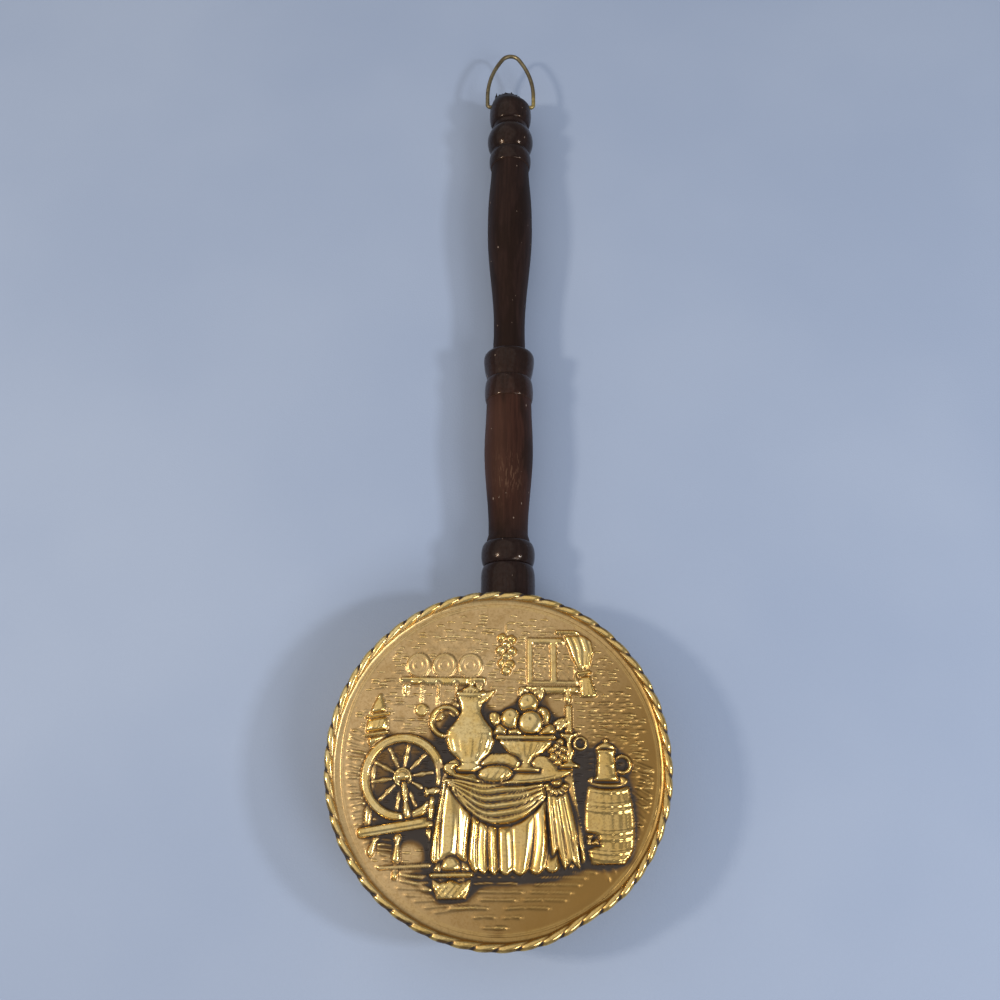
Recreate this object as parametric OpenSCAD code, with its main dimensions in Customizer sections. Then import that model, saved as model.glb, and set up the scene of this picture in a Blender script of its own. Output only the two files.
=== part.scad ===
// Small wall-hanging bed warming pan: a shallow brass pan under an embossed cover with a
// rope edge, on a turned wooden handle with a wire hanging ring.
// It lies on its back. The origin is the centre of the flat base, +Z points out of the
// cover and +Y runs along the handle towards the ring.

/* [Pan] */
// Diameter over the rope edge
pan_d = 156; // [146:1:176]
// Height from the base to the top of the flange
pan_depth = 31; // [30:0.5:40]
// Thickness of the pan's brass sheet
pan_sheet = 0.8; // [0.5:0.1:1]
// How far the pan's wall stands inside the rope edge
wall_inset = 7; // [5.5:0.1:9]
// Outer radius of the bend between base and wall
corner_r = 11; // [6:0.5:14]
// Inner radius of the bend between wall and flange
lip_r = 1.2; // [0.8:0.1:1.6]

/* [Cover] */
// Thickness of the cover's brass sheet
cover_sheet = 0.6; // [0.4:0.1:0.9]
// Width of the rope edge
rope_w = 4.2; // [3.6:0.1:5]
// How far the rope edge stands above the field
rope_rise = 3.2; // [3:0.1:4]
// Number of strands seen round the rope edge
rope_strands = 50; // [40:1:60]
// Angle between the rope's grooves and the radius
rope_lay = 52; // [35:1:55]
// Depth of the rope's grooves
groove_depth = 0.7; // [0.3:0.1:0.8]
// Radius of the rope's grooves
groove_r = 1.2; // [0.8:0.1:1.5]
// Width of the slope between rope edge and field
slope_w = 1.7; // [1.5:0.1:3]
// Gap between the slope's foot and the first fine line
line_gap = 0.45; // [0.4:0.05:2]
// Spacing of the two fine lines
line_pitch = 0.9; // [0.8:0.1:1.6]
// Height of the fine lines
line_h = 0.3; // [0.2:0.05:0.35]

/* [Relief] */
// Height of the highest forms above the field
relief_high = 2.6; // [1.5:0.1:2.8]
// Height of the middle forms
relief_mid = 1.8; // [1:0.1:2.2]
// Height of the lowest forms
relief_low = 0.9; // [0.5:0.1:1.4]
// Number of folds in the table cloth
cloth_folds = 9; // [5:1:13]
// Number of spokes in the spinning wheel
wheel_spokes = 10; // [6:1:14]

/* [Handle] */
// Sideways offset of the handle from the pan's centre line
handle_offset = 3.7; // [0:0.1:6]
// Diameter of the cup against the pan
cup_d = 26.5; // [24:0.1:27]
// Length of the cup beyond the rope edge
cup_l = 16.7; // [12:0.1:22]
// Length of the cup's rounded end
cup_round = 6.5; // [4:0.1:9]
// Diameter at the groove beside the cup
cup_groove_d = 23; // [20:0.1:24]
// Diameter of the lower bead
lower_bead_d = 26.5; // [25:0.1:27]
// Length of the lower bead
lower_bead_l = 11.8; // [9:0.1:14]
// Diameter of the lower bead's shoulder
lower_shoulder_d = 22; // [21.6:0.1:24]
// Diameter where the lower baluster leaves that shoulder
lower_foot_d = 21.6; // [20:0.1:21.6]
// Smallest diameter of the lower baluster
lower_waist_d = 19.6; // [17:0.1:21]
// Largest diameter of the lower baluster
lower_swell_d = 24.9; // [22:0.1:27]
// Diameter of the lower baluster's outer end
lower_end_d = 23.4; // [19:0.1:24]
// Distance from the lower shoulder to the waist
lower_waist_l = 5.5; // [4:0.1:12]
// Distance from the lower waist to the swell
lower_swell_l = 45; // [35:0.1:50]
// Distance from the lower swell to the outer end
lower_end_l = 26.8; // [20:0.1:40]
// Diameter of the small middle bead
mid_bead_d = 25.3; // [24.5:0.1:27]
// Length of the small middle bead
mid_bead_l = 12.4; // [9:0.1:15]
// Diameter at the groove between the middle beads
mid_groove_d = 22.6; // [19:0.1:24]
// Diameter of the middle drum
mid_drum_d = 26.6; // [25:0.1:27]
// Length of the middle drum
mid_drum_l = 15.1; // [12:0.1:20]
// Diameter of the middle drum's shoulder
mid_shoulder_d = 23.5; // [21:0.1:24]
// Diameter where the upper baluster leaves that shoulder
upper_foot_d = 17.2; // [17:0.1:20]
// Smallest diameter of the upper baluster
upper_waist_d = 16.6; // [14:0.1:17]
// Largest diameter of the upper baluster
upper_swell_d = 24.7; // [22:0.1:26]
// Diameter of the upper baluster's outer end
upper_end_d = 21.2; // [18:0.1:22]
// Distance from the middle shoulder to the upper waist
upper_waist_l = 14.7; // [8:0.1:20]
// Distance from the upper waist to the swell
upper_swell_l = 64; // [40:0.1:80]
// Distance from the upper swell to the outer end
upper_end_l = 41.6; // [30:0.1:60]
// Diameter of the thin upper bead
thin_bead_d = 23.7; // [22.5:0.1:25]
// Length of the thin upper bead
thin_bead_l = 9.4; // [8:0.1:12]
// Diameter at the groove beside the ball
ball_groove_d = 21; // [18:0.1:22]
// Width of that groove
ball_groove_l = 1.2; // [0.8:0.1:2]
// Diameter of the ball
ball_d = 26.1; // [25:0.1:27]
// Diameter of the neck between ball and finial
neck_d = 19.8; // [17:0.1:21]
// Length of the neck
neck_l = 2.5; // [1.5:0.1:4]
// Largest diameter of the finial
finial_d = 24.2; // [22:0.1:25]
// Distance from the neck to the finial's largest diameter
finial_peak_l = 8; // [6:0.1:10]
// Distance from there to the finial's sawn end
finial_end_l = 11.5; // [10:0.1:15]
// Diameter of the finial's sawn end
finial_end_d = 18; // [14:0.1:19]

/* [Hanging ring] */
// Diameter of the ring's wire
wire_d = 2.3; // [1.8:0.1:2.6]
// Length of the ring from its pivot to its outer tip
ring_l = 39.2; // [36:0.1:48]
// Outer radius of the ring's tip
ring_tip_r = 7; // [5:0.1:8]
// Straight stretch of each leg beside the finial
ring_leg_l = 6; // [4:0.1:7]
// Radius of the wire's bend at each leg
ring_bend_r = 2; // [1.6:0.1:2.2]
// Distance from the finial's end back to the ring's pivot
pivot_back = 4.75; // [4:0.05:7]
// Length of wire held in each pivot hole, from the finial's largest radius
pivot_hold = 6.5; // [4:0.1:8]

/* [Fixing] */
// Diameter over the screw's thread
screw_d = 4.2; // [3:0.1:5]
// Depth of the screw's thread
thread_depth = 0.5; // [0.3:0.1:0.6]
// Pitch of the screw's thread
thread_pitch = 1.8; // [1.2:0.1:2.4]
// Length of the screw under its head
screw_l = 36; // [25:1:50]
// Length of the screw's plain shank under its head
shank_l = 12; // [8:1:16]
// Length of the screw's point
point_l = 4; // [3:0.5:6]
// Diameter of the screw's head
screw_head_d = 8.4; // [7:0.1:10]
// Height of the screw's head
screw_head_h = 2.6; // [2:0.1:3.5]
// Width of the screw's slot
slot_w = 1.1; // [0.8:0.1:1.4]
// Depth of the screw's slot
slot_depth = 1.2; // [0.8:0.1:1.5]
// Diameter of the saddle washer
washer_d = 16; // [12:0.5:18]
// Thickness of the saddle washer at its thinnest
washer_t = 1; // [0.8:0.1:2]

/* [Clearances] */
// Gap between the cup and the hem above it
rim_gap = 0.8; // [0.3:0.1:1.2]
// Gap between the handle's end and the pan's wall
seat_gap = 0.1; // [0.02:0.01:0.3]
// Gap between the hem and the pan's flange
hem_gap = 0.05; // [0.02:0.01:0.2]
// Gap between the washer and the pan's wall
washer_gap = 0.05; // [0.02:0.01:0.2]
// Radial gap round the screw where it passes through metal
screw_hole_gap = 0.25; // [0.1:0.05:0.5]
// Radial gap round the screw in its pilot hole
pilot_gap = 0.05; // [0.02:0.01:0.1]
// Depth of the pilot hole beyond the screw's point
pilot_end_gap = 1; // [0.5:0.1:3]
// Radial gap round the wire in its pivot holes
pivot_gap = 0.05; // [0.02:0.01:0.1]
// Depth of each pivot hole beyond the wire's end
pivot_end_gap = 1; // [0.3:0.1:2]
// Gap between the wire's legs and the finial
ring_side_gap = 0.25; // [0.2:0.05:1]

/* [Hidden] */
$fn = 96;
overlap = 0.01; // what a cutter runs past the face that it cuts
arc_steps = 10; // points in each quarter round of a turned outline
curve_steps = 14; // points in each half of a baluster's outline
oval_steps = 24; // points in an oval of the relief
thin_fn = 360; // facets of a round face behind a thin part
tip_lap = 1; // degrees that the ring's tip, a hair thinner, runs into each side

brass = "#c9a657";
pan_brass = "#b8954f";
dull_brass = "#8c7a4a";
dark_wood = "#2e1c16";
steel = "#9a9a98";

edge_r = pan_d / 2;
wall_r = edge_r - wall_inset;
wall_top = pan_depth - pan_sheet - lip_r;
rope_r = rope_w / 2;
rope_mid = edge_r - rope_r;
field_z = pan_depth + cover_sheet;
rope_top = field_z + rope_rise;
rope_z = rope_top - rope_r;
flange_r = rope_mid;
hem_top = pan_depth - pan_sheet - hem_gap;
hem_bottom = hem_top - cover_sheet;
hem_inner = wall_r + lip_r + hem_gap;
slope_outer = edge_r - rope_w;
slope_foot = slope_outer - slope_w;
line_r = slope_foot - line_gap;
pattern_r = 70; // radius of the circle that the relief is drawn in
pattern_scale = (line_r - 2 * line_pitch) / pattern_r;

handle_z = hem_bottom - rim_gap - cup_d / 2;
handle_root = wall_r - 2 * corner_r; // inside the pan, where its wall cuts the handle off
cup_end = edge_r + cup_l;
lower_bead_end = cup_end + lower_bead_l;
lower_waist_y = lower_bead_end + lower_waist_l;
lower_swell_y = lower_waist_y + lower_swell_l;
lower_baluster_end = lower_swell_y + lower_end_l;
mid_bead_end = lower_baluster_end + mid_bead_l;
mid_drum_end = mid_bead_end + mid_drum_l;
mid_drum_peak = mid_bead_end + 0.8 * mid_drum_l;
upper_waist_y = mid_drum_end + upper_waist_l;
upper_swell_y = upper_waist_y + upper_swell_l;
upper_baluster_end = upper_swell_y + upper_end_l;
thin_bead_end = upper_baluster_end + thin_bead_l;
ball_y = thin_bead_end + ball_groove_l + sqrt(pow(ball_d, 2) - pow(ball_groove_d, 2)) / 2;
neck_end = ball_y + sqrt(pow(ball_d, 2) - pow(neck_d, 2)) / 2 + neck_l;
finial_peak = neck_end + finial_peak_l;
finial_end = finial_peak + finial_end_l;
pivot_y = finial_end - pivot_back;

leg_x = finial_d / 2 + ring_side_gap + wire_d / 2;
wire_end = finial_d / 2 - pivot_hold;
tip_r = ring_tip_r - wire_d / 2;
tip_s = ring_l - ring_tip_r;
side_s = ring_bend_r + ring_leg_l;
// The side arc starts along the leg and runs into the tip's arc without a kink.
side_r = (pow(leg_x, 2) - pow(tip_r, 2) + pow(tip_s - side_s, 2)) / (2 * (leg_x - tip_r));
side_angle = atan2(tip_s - side_s, side_r - leg_x);

// A flat inner face at this distance leaves the washer its thickness everywhere.
washer_y = sqrt(pow(wall_r - pan_sheet - washer_gap, 2) - pow(handle_offset + washer_d / 2, 2))
    - washer_t;
screw_tip_y = washer_y + screw_l;

// ---- Outline helpers ----

// Quarter ellipse from radius r0 at y0, rising steeply, to radius r1 at y1.
function rise(y0, r0, y1, r1) = [
    for (i = [0:arc_steps])
        let (a = 90 * i / arc_steps)
        [r0 + (r1 - r0) * sin(a), y0 + (y1 - y0) * (1 - cos(a))]
];

// Quarter ellipse from radius r0 at y0, falling steeply at its end, to radius r1 at y1.
function fall(y0, r0, y1, r1) = [
    for (i = [0:arc_steps])
        let (a = 90 * i / arc_steps)
        [r1 + (r0 - r1) * cos(a), y0 + (y1 - y0) * sin(a)]
];

// Soft curve from radius r0 at y0 to radius r1 at y1. A late curve holds r0 for longer.
function ease(y0, r0, y1, r1, late = 1) = [
    for (i = [0:curve_steps])
        let (t = i / curve_steps)
        [r0 + (r1 - r0) * (1 - cos(180 * pow(t, late))) / 2, y0 + (y1 - y0) * t]
];

// Flare that leaves radius r0 at y0 and flattens towards its largest radius r1 at y1.
function flare(y0, r0, y1, r1) = [
    for (i = [0:arc_steps])
        let (t = i / arc_steps)
        [r0 + (r1 - r0) * sin(90 * t), y0 + (y1 - y0) * t]
];

// The part of a ball about y between the radii r0 below it and r1 above it.
function ball(y, r, r0, r1) =
    let (from = -acos(r0 / r), to = acos(r1 / r))
    [
        for (i = [0:2 * arc_steps])
            let (a = from + (to - from) * i / (2 * arc_steps))
            [r * cos(a), y + r * sin(a)]
    ];

// Dome that leaves radius r0 at y0 along the axis and bends ever faster to r1 at y1.
function dome(y0, r0, y1, r1) = [
    for (i = [0:arc_steps])
        let (t = i / arc_steps)
        [r0 + (r1 - r0) * t * t, y0 + (y1 - y0) * t]
];

// A bead between two shoulders, with its largest radius at the share peak of its length.
function bead(y0, y1, ra, rm, rb, peak = 0.5) =
    let (ym = y0 + (y1 - y0) * peak)
    concat(rise(y0, ra, ym, rm), fall(ym, rm, y1, rb));

// Lays a turned solid along the handle's axis, with its own z as the distance along y.
module along_handle() {
    translate([handle_offset, 0, handle_z])
        rotate([-90, 0, 0])
            children();
}

// ---- Pan ----

// Half section of the pan's outside, drawn in by inset on every side but the top.
module bowl_section(inset, top) {
    translate([0, inset])
        square([wall_r - corner_r, top - inset]);
    translate([0, corner_r])
        square([wall_r - inset, top - corner_r]);
    translate([wall_r - corner_r, corner_r])
        circle(corner_r - inset);
}

// The bend between wall and flange, as one quarter of a ring.
module lip_section() {
    intersection() {
        translate([wall_r + lip_r, wall_top])
            difference() {
                circle(lip_r + pan_sheet);
                circle(lip_r);
            }
        translate([wall_r - pan_sheet, wall_top])
            square([lip_r + pan_sheet, lip_r + pan_sheet]);
    }
}

module pan_section() {
    difference() {
        bowl_section(0, wall_top);
        bowl_section(pan_sheet, wall_top + overlap);
    }
    lip_section();
    translate([wall_r + lip_r, pan_depth - pan_sheet])
        square([flange_r - wall_r - lip_r, pan_sheet]);
}

module back_pan() {
    color(pan_brass)
        difference() {
            rotate_extrude()
                pan_section();
            along_handle()
                translate([0, 0, washer_y])
                    cylinder(r = screw_d / 2 + screw_hole_gap, h = edge_r - washer_y);
        }
}

// ---- Cover ----

// Half section of the cover: sheet, fine lines, slope, rope edge and the hem under the flange.
module cover_section() {
    difference() {
        union() {
            translate([0, pan_depth])
                square([rope_mid, cover_sheet]);
            polygon([
                [slope_foot, pan_depth],
                [rope_mid, pan_depth],
                [rope_mid, rope_z],
                [slope_outer, rope_z],
                [slope_foot, field_z]
            ]);
            translate([rope_mid, rope_z])
                circle(rope_r);
            translate([hem_inner, hem_bottom])
                square([edge_r - cover_sheet - hem_inner, rope_z - hem_bottom]);
        }
        translate([0, hem_top])
            square([flange_r + hem_gap, pan_depth - hem_top]);
    }
    for (i = [0:1])
        intersection() {
            translate([line_r - i * line_pitch, field_z])
                circle(line_h);
            translate([0, field_z - cover_sheet / 2])
                square([edge_r, edge_r]);
        }
}

// The grooves that divide the rope edge into strands.
module rope_grooves() {
    for (i = [0:rope_strands - 1])
        rotate([0, 0, i * 360 / rope_strands])
            translate([rope_mid, 0, rope_top - groove_depth + groove_r])
                rotate([0, 90, -rope_lay])
                    cylinder(r = groove_r, h = 3 * rope_w, center = true);
}

module front_cover() {
    color(brass) {
        difference() {
            rotate_extrude()
                cover_section();
            rope_grooves();
        }
        relief();
    }
}

// ---- Relief: a kitchen still life, drawn in a circle of radius pattern_r ----

// Raises a flat drawing above the field.
module raised(h) {
    translate([0, 0, field_z - cover_sheet / 2])
        linear_extrude(h + cover_sheet / 2)
            scale(pattern_scale)
                children();
}

function oval(a, b, from = 0, to = 360) = [
    for (i = [0:oval_steps])
        let (t = from + (to - from) * i / oval_steps)
        [a * cos(t), b * sin(t)]
];

// An outline that is the same on both sides, from its right half's points, bottom to top.
module both_sides(half) {
    last = len(half) - 1;
    polygon(concat(half, [for (i = [0:last]) [-half[last - i][0], half[last - i][1]]]));
}

// A straight bar of width w between two points.
module bar(from, to, w) {
    along = to - from;
    translate(from)
        rotate([0, 0, atan2(along[1], along[0])])
            translate([0, -w / 2])
                square([norm(along), w]);
}

table = [4, -3];
table_a = 29; // half the table top's width
table_b = 6.5; // half its depth
hem_a = 33; // half the cloth's width at its hem
cloth_drop = 40;

// How far below the table's centre the cloth's hem hangs, u running from 0 to 1 across it.
function cloth_hem(u) = -cloth_drop - 5 * sin(180 * u) - 0.9 * (1 - cos(360 * cloth_folds * u));

module cloth_outline() {
    steps = 6 * cloth_folds;
    polygon(concat(
        oval(table_a, table_b, 0, 180),
        [for (i = [0:steps]) let (u = i / steps) [-hem_a + 2 * hem_a * u, cloth_hem(u)]]
    ));
}

// One raised fold, widening from the table's edge to the hem.
module cloth_fold(u) {
    top = [-table_a * cos(180 * u), -table_b * sin(180 * u) - 2];
    foot = [-hem_a + 2 * hem_a * u, cloth_hem(u) + 2];
    polygon([top + [-0.5, 0], foot + [-1.7, 0], foot + [1.7, 0], top + [0.5, 0]]);
}

module table_relief() {
    raised(relief_mid)
        translate(table)
            cloth_outline();
    raised(relief_high)
        translate(table)
            for (i = [0:cloth_folds - 1])
                cloth_fold((i + 0.5) / cloth_folds);
}

module jug_relief() {
    raised(relief_high)
        translate([-13, -4])
            both_sides([
                [5.5, 0], [6, 2], [4.5, 3.5], [8.5, 7.5], [10.5, 12], [9.8, 17],
                [6, 22], [4.2, 26], [5.5, 30], [6.8, 32.5]
            ]);
    raised(relief_mid)
        translate([-25, 15])
            difference() {
                circle(7);
                circle(4.8);
            }
}

fruit_r = 4.3;
fruit_pitch = 5.4;

// Fruit piled in rows of 4, 3 and 1 over a footed bowl.
module fruit_relief() {
    bowl_r = 12;
    raised(relief_mid)
        translate([14, 6])
            intersection() {
                circle(bowl_r);
                translate([-bowl_r, -bowl_r])
                    square([2 * bowl_r, bowl_r]);
            }
    for (row = [0:2])
        for (i = [0:3 - row])
            if (row < 2 || i == 0)
                translate(pattern_scale * [
                    14 + fruit_pitch * (row < 2 ? i - (3 - row) / 2 : 0),
                    8.5 + 4.9 * row,
                    0
                ])
                    intersection() {
                        translate([0, 0, field_z + relief_high - fruit_r])
                            sphere(fruit_r);
                        translate([0, 0, field_z - cover_sheet / 2])
                            cylinder(r = fruit_r, h = relief_high + cover_sheet);
                    }
}

module candle_relief() {
    raised(relief_mid)
        translate([31.5, -3])
            both_sides([
                [5, 0], [4.2, 2.2], [1.4, 3.2], [1.4, 12], [4, 13.2], [4, 15], [1.9, 15.4],
                [1.9, 29]
            ]);
    raised(relief_low)
        translate([31.5, 30])
            polygon([[-0.4, -1], [0.4, -1], [1.6, 2], [0, 6.5], [-1.6, 2]]);
}

barrel_a = 9.5; // half the barrel's width at its ends
barrel_h = 32;

function stave(t) = [barrel_a + 2.2 * sin(180 * t), barrel_h * t];

module barrel_relief() {
    hoops = [0.08, 0.27, 0.73, 0.92];
    translate([49 * pattern_scale, -36 * pattern_scale, 0]) {
        raised(relief_mid)
            both_sides([for (i = [0:8]) stave(i / 8)]);
        raised(relief_high)
            for (t = hoops)
                translate([-stave(t)[0], stave(t)[1] - 1.1])
                    square([2 * stave(t)[0], 2.2]);
        raised(relief_mid)
            both_sides([[4.8, barrel_h - 1], [5.2, barrel_h + 1], [4.2, barrel_h + 12]]);
    }
}

wheel_r = 18;

module wheel_relief() {
    hub = [-43, -7];
    bench = [[-62, -30], [-27, -24]];
    raised(relief_mid)
        translate(hub)
            difference() {
                circle(wheel_r);
                circle(wheel_r - 3);
            }
    raised(relief_low)
        translate(hub)
            for (i = [0:wheel_spokes - 1])
                rotate([0, 0, i * 360 / wheel_spokes])
                    translate([0, -0.6])
                        square([wheel_r - 1, 1.2]);
    raised(relief_high)
        translate(hub)
            circle(3);
    raised(relief_mid) {
        bar(bench[0], bench[1], 4);
        bar([-57, -30], [-51, -44], 2.4);
        bar([-33, -26], [-31, -45], 2.4);
        bar([-58, -29], [-55, 22], 1.8);
    }
    raised(relief_high)
        translate([-55.5, 16])
            polygon(oval(4, 9));
}

module shelf_relief() {
    shelf_y = 34.4;
    raised(relief_mid)
        translate([-46, shelf_y])
            square([36, 3.2]);
    raised(relief_low)
        for (i = [0:2])
            translate([-37.5 + 12 * i, shelf_y + 8.8])
                circle(5.2);
    raised(relief_mid)
        for (i = [0:2])
            translate([-37.5 + 12 * i, shelf_y + 8.8])
                circle(2.6);
}

module window_relief() {
    size = [24.5, 23];
    frame = 2.2;
    raised(relief_low)
        translate([12.5, 33.5])
            difference() {
                square(size);
                for (i = [0:1])
                    for (j = [0:1])
                        translate([frame + i * size[0] / 2, frame + j * size[1] / 2])
                            square([size[0] / 2 - 1.5 * frame, size[1] / 2 - 1.5 * frame]);
            }
    raised(relief_mid)
        translate([10, 31])
            square([31, 2.6]);
}

module relief() {
    table_relief();
    jug_relief();
    fruit_relief();
    candle_relief();
    barrel_relief();
    wheel_relief();
    shelf_relief();
    window_relief();
}

// ---- Handle ----

function lower_outline() = concat(
    fall(cup_end - cup_round, cup_d / 2, cup_end, cup_groove_d / 2),
    bead(cup_end, lower_bead_end, cup_groove_d / 2, lower_bead_d / 2, lower_shoulder_d / 2),
    ease(lower_bead_end, lower_foot_d / 2, lower_waist_y, lower_waist_d / 2),
    ease(lower_waist_y, lower_waist_d / 2, lower_swell_y, lower_swell_d / 2),
    ease(lower_swell_y, lower_swell_d / 2, lower_baluster_end, lower_end_d / 2)
);

function middle_outline() = concat(
    bead(lower_baluster_end, mid_bead_end, lower_end_d / 2, mid_bead_d / 2, mid_groove_d / 2, 0.44),
    flare(mid_bead_end, mid_groove_d / 2, mid_drum_peak, mid_drum_d / 2),
    fall(mid_drum_peak, mid_drum_d / 2, mid_drum_end, mid_shoulder_d / 2)
);

function upper_outline() = concat(
    ease(mid_drum_end, upper_foot_d / 2, upper_waist_y, upper_waist_d / 2),
    ease(upper_waist_y, upper_waist_d / 2, upper_swell_y, upper_swell_d / 2),
    ease(upper_swell_y, upper_swell_d / 2, upper_baluster_end, upper_end_d / 2, 1.5),
    bead(upper_baluster_end, thin_bead_end, upper_end_d / 2, thin_bead_d / 2, ball_groove_d / 2, 0.52),
    ball(ball_y, ball_d / 2, ball_groove_d / 2, neck_d / 2)
);

function finial_outline() = concat(
    rise(neck_end, neck_d / 2, finial_peak, finial_d / 2),
    dome(finial_peak, finial_d / 2, finial_end, finial_end_d / 2)
);

module handle() {
    color(dark_wood)
        difference() {
            along_handle()
                rotate_extrude()
                    polygon(concat(
                        [[0, handle_root], [cup_d / 2, handle_root]],
                        lower_outline(),
                        middle_outline(),
                        upper_outline(),
                        finial_outline(),
                        [[0, finial_end]]
                    ));
            // The end is hollowed to sit on the pan's wall.
            rotate_extrude()
                bowl_section(-seat_gap, pan_depth);
            // Pilot hole for the screw
            along_handle()
                translate([0, 0, handle_root])
                    cylinder(r = screw_d / 2 + pilot_gap, h = screw_tip_y + pilot_end_gap - handle_root);
            // Pivot holes for the ring
            for (side = [-1, 1])
                translate([handle_offset + side * (wire_end - pivot_end_gap), pivot_y, handle_z])
                    rotate([0, side * 90, 0])
                        cylinder(r = wire_d / 2 + pivot_gap, h = finial_d / 2);
        }
}

// ---- Hanging ring ----

// Part of a wire ring about a centre in the plane of the ring.
module wire_arc(centre, r, from, to, wire_r = wire_d / 2) {
    translate(centre)
        rotate([0, 0, from])
            rotate_extrude(angle = to - from)
                translate([r, 0])
                    circle(wire_r);
}

// One side of the ring: the pin in its hole, the bend, the leg and the side.
module ring_side() {
    translate([wire_end, 0, 0])
        rotate([0, 90, 0])
            cylinder(r = wire_d / 2, h = leg_x - ring_bend_r - wire_end);
    wire_arc([leg_x - ring_bend_r, ring_bend_r], ring_bend_r, -90, 0);
    translate([leg_x, ring_bend_r, 0])
        rotate([-90, 0, 0])
            cylinder(r = wire_d / 2, h = ring_leg_l);
    wire_arc([leg_x - side_r, side_s], side_r, 0, side_angle);
}

module hanging_ring() {
    tip_start = side_angle - tip_lap;
    color(dull_brass)
        translate([handle_offset, pivot_y, handle_z]) {
            ring_side();
            mirror([1, 0, 0])
                ring_side();
            wire_arc([0, tip_s], tip_r, tip_start, 180 - tip_start, wire_d / 2 - overlap);
        }
}

// ---- Fixing ----

// Right half of the screw's outline: shank, thread as rings, and point.
function screw_outline() =
    let (
        turns = floor((screw_l - shank_l - point_l) / thread_pitch),
        root = screw_d / 2 - thread_depth,
        thread_y = screw_l - point_l - turns * thread_pitch
    )
    concat(
        [[0, -overlap], [screw_d / 2, -overlap], [screw_d / 2, thread_y - thread_pitch / 2]],
        [for (i = [0:2 * turns]) [i % 2 == 0 ? root : screw_d / 2, thread_y + i * thread_pitch / 2]],
        [[0, screw_l]]
    );

module handle_screw() {
    head_r = (pow(screw_head_h, 2) + pow(screw_head_d / 2, 2)) / (2 * screw_head_h);
    color(steel)
        along_handle()
            translate([0, 0, washer_y]) {
                rotate_extrude()
                    polygon(screw_outline());
                difference() {
                    intersection() {
                        translate([0, 0, head_r - screw_head_h])
                            sphere(head_r);
                        translate([0, 0, -screw_head_h])
                            cylinder(r = screw_head_d / 2, h = screw_head_h);
                    }
                    translate([-slot_w / 2, -screw_head_d, -screw_head_h - overlap])
                        cube([slot_w, 2 * screw_head_d, slot_depth + overlap]);
                }
            }
}

// Flat under the screw's head, and shaped on its other face to the pan's curved wall.
module saddle_washer() {
    color(steel)
        difference() {
            intersection() {
                rotate_extrude($fn = thin_fn)
                    bowl_section(pan_sheet + washer_gap, wall_top);
                along_handle()
                    translate([0, 0, washer_y])
                        cylinder(r = washer_d / 2, h = edge_r - washer_y);
            }
            along_handle()
                translate([0, 0, washer_y - overlap])
                    cylinder(r = screw_d / 2 + screw_hole_gap, h = edge_r - washer_y);
        }
}

back_pan();
front_cover();
handle();
handle_screw();
saddle_washer();
hanging_ring();
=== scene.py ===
"""Looks of a small decorative bed warming pan: embossed brass cover with a rope edge, spun pan,
turned wooden handle and wire hanging ring. Lengths are millimetres up to mesh making."""
import math

import bpy
import numpy as np
from mathutils import Matrix, Vector


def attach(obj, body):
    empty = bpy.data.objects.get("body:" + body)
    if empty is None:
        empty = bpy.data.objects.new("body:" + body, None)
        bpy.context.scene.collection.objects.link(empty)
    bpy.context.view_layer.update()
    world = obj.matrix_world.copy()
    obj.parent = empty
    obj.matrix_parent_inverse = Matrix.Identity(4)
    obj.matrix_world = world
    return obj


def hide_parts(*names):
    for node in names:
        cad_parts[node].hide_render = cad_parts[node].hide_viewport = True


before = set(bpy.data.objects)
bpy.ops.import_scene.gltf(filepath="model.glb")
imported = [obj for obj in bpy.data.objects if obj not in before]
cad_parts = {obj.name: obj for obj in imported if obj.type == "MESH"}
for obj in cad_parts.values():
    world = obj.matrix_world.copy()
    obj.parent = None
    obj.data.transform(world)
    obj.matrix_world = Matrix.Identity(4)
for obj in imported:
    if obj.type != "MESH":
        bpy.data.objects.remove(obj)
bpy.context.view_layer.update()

MM = 0.001

# Sizes shared with the CAD model
FIELD_Z = 31.6
ROPE_TOP = 34.8
ROPE_MIDDLE_R = 76.0
HEM_Z = 29.55
WALL_R = 71.0
WALL_CORNER_R = 11.0
SHEET = 0.8
HANDLE_X = 3.7
HANDLE_Z = 15.5
BEAD_R = 13.25
CUP_END_Y = 88.2
BORE_R = 2.15
BORE_END_Y = 105.17
BROKEN_END_Y = 379.6
PIVOT_Y = 375.7
PIVOT_HOLE_R = 1.2
WIRE_R = 1.15
WIRE_END_X = 5.6

# Radius of the circle that the relief is drawn in, and a distance outside every form
PATTERN_R = 70.0
FAR = -99.0


# ---- camera, floor, lights
def look_through():
    """The photograph's viewpoint: 490 mm up, tilted 20 degrees towards the handle."""
    data = bpy.data.cameras.new("camera")
    data.lens = 36
    data.sensor_width = 36
    data.clip_start = 0.01
    cam = bpy.data.objects.new("camera", data)
    bpy.context.scene.collection.objects.link(cam)
    tilt = Matrix.Rotation(math.radians(20), 4, "X")
    roll = Matrix.Rotation(0.0082, 4, "Z")
    cam.matrix_world = Matrix.Translation((-0.00055, -0.04273, 0.4896)) @ tilt @ roll
    bpy.context.scene.camera = cam
    bpy.context.scene.view_settings.view_transform = "Standard"


def area_light(name, place, aim, size, power, colour):
    data = bpy.data.lights.new(name, "AREA")
    data.shape = "RECTANGLE"
    data.size, data.size_y = size
    data.energy = power
    data.color = colour
    light = bpy.data.objects.new(name, data)
    bpy.context.scene.collection.objects.link(light)
    light.location = place
    light.rotation_euler = (Vector(aim) - Vector(place)).to_track_quat("-Z", "Y").to_euler()


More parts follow.
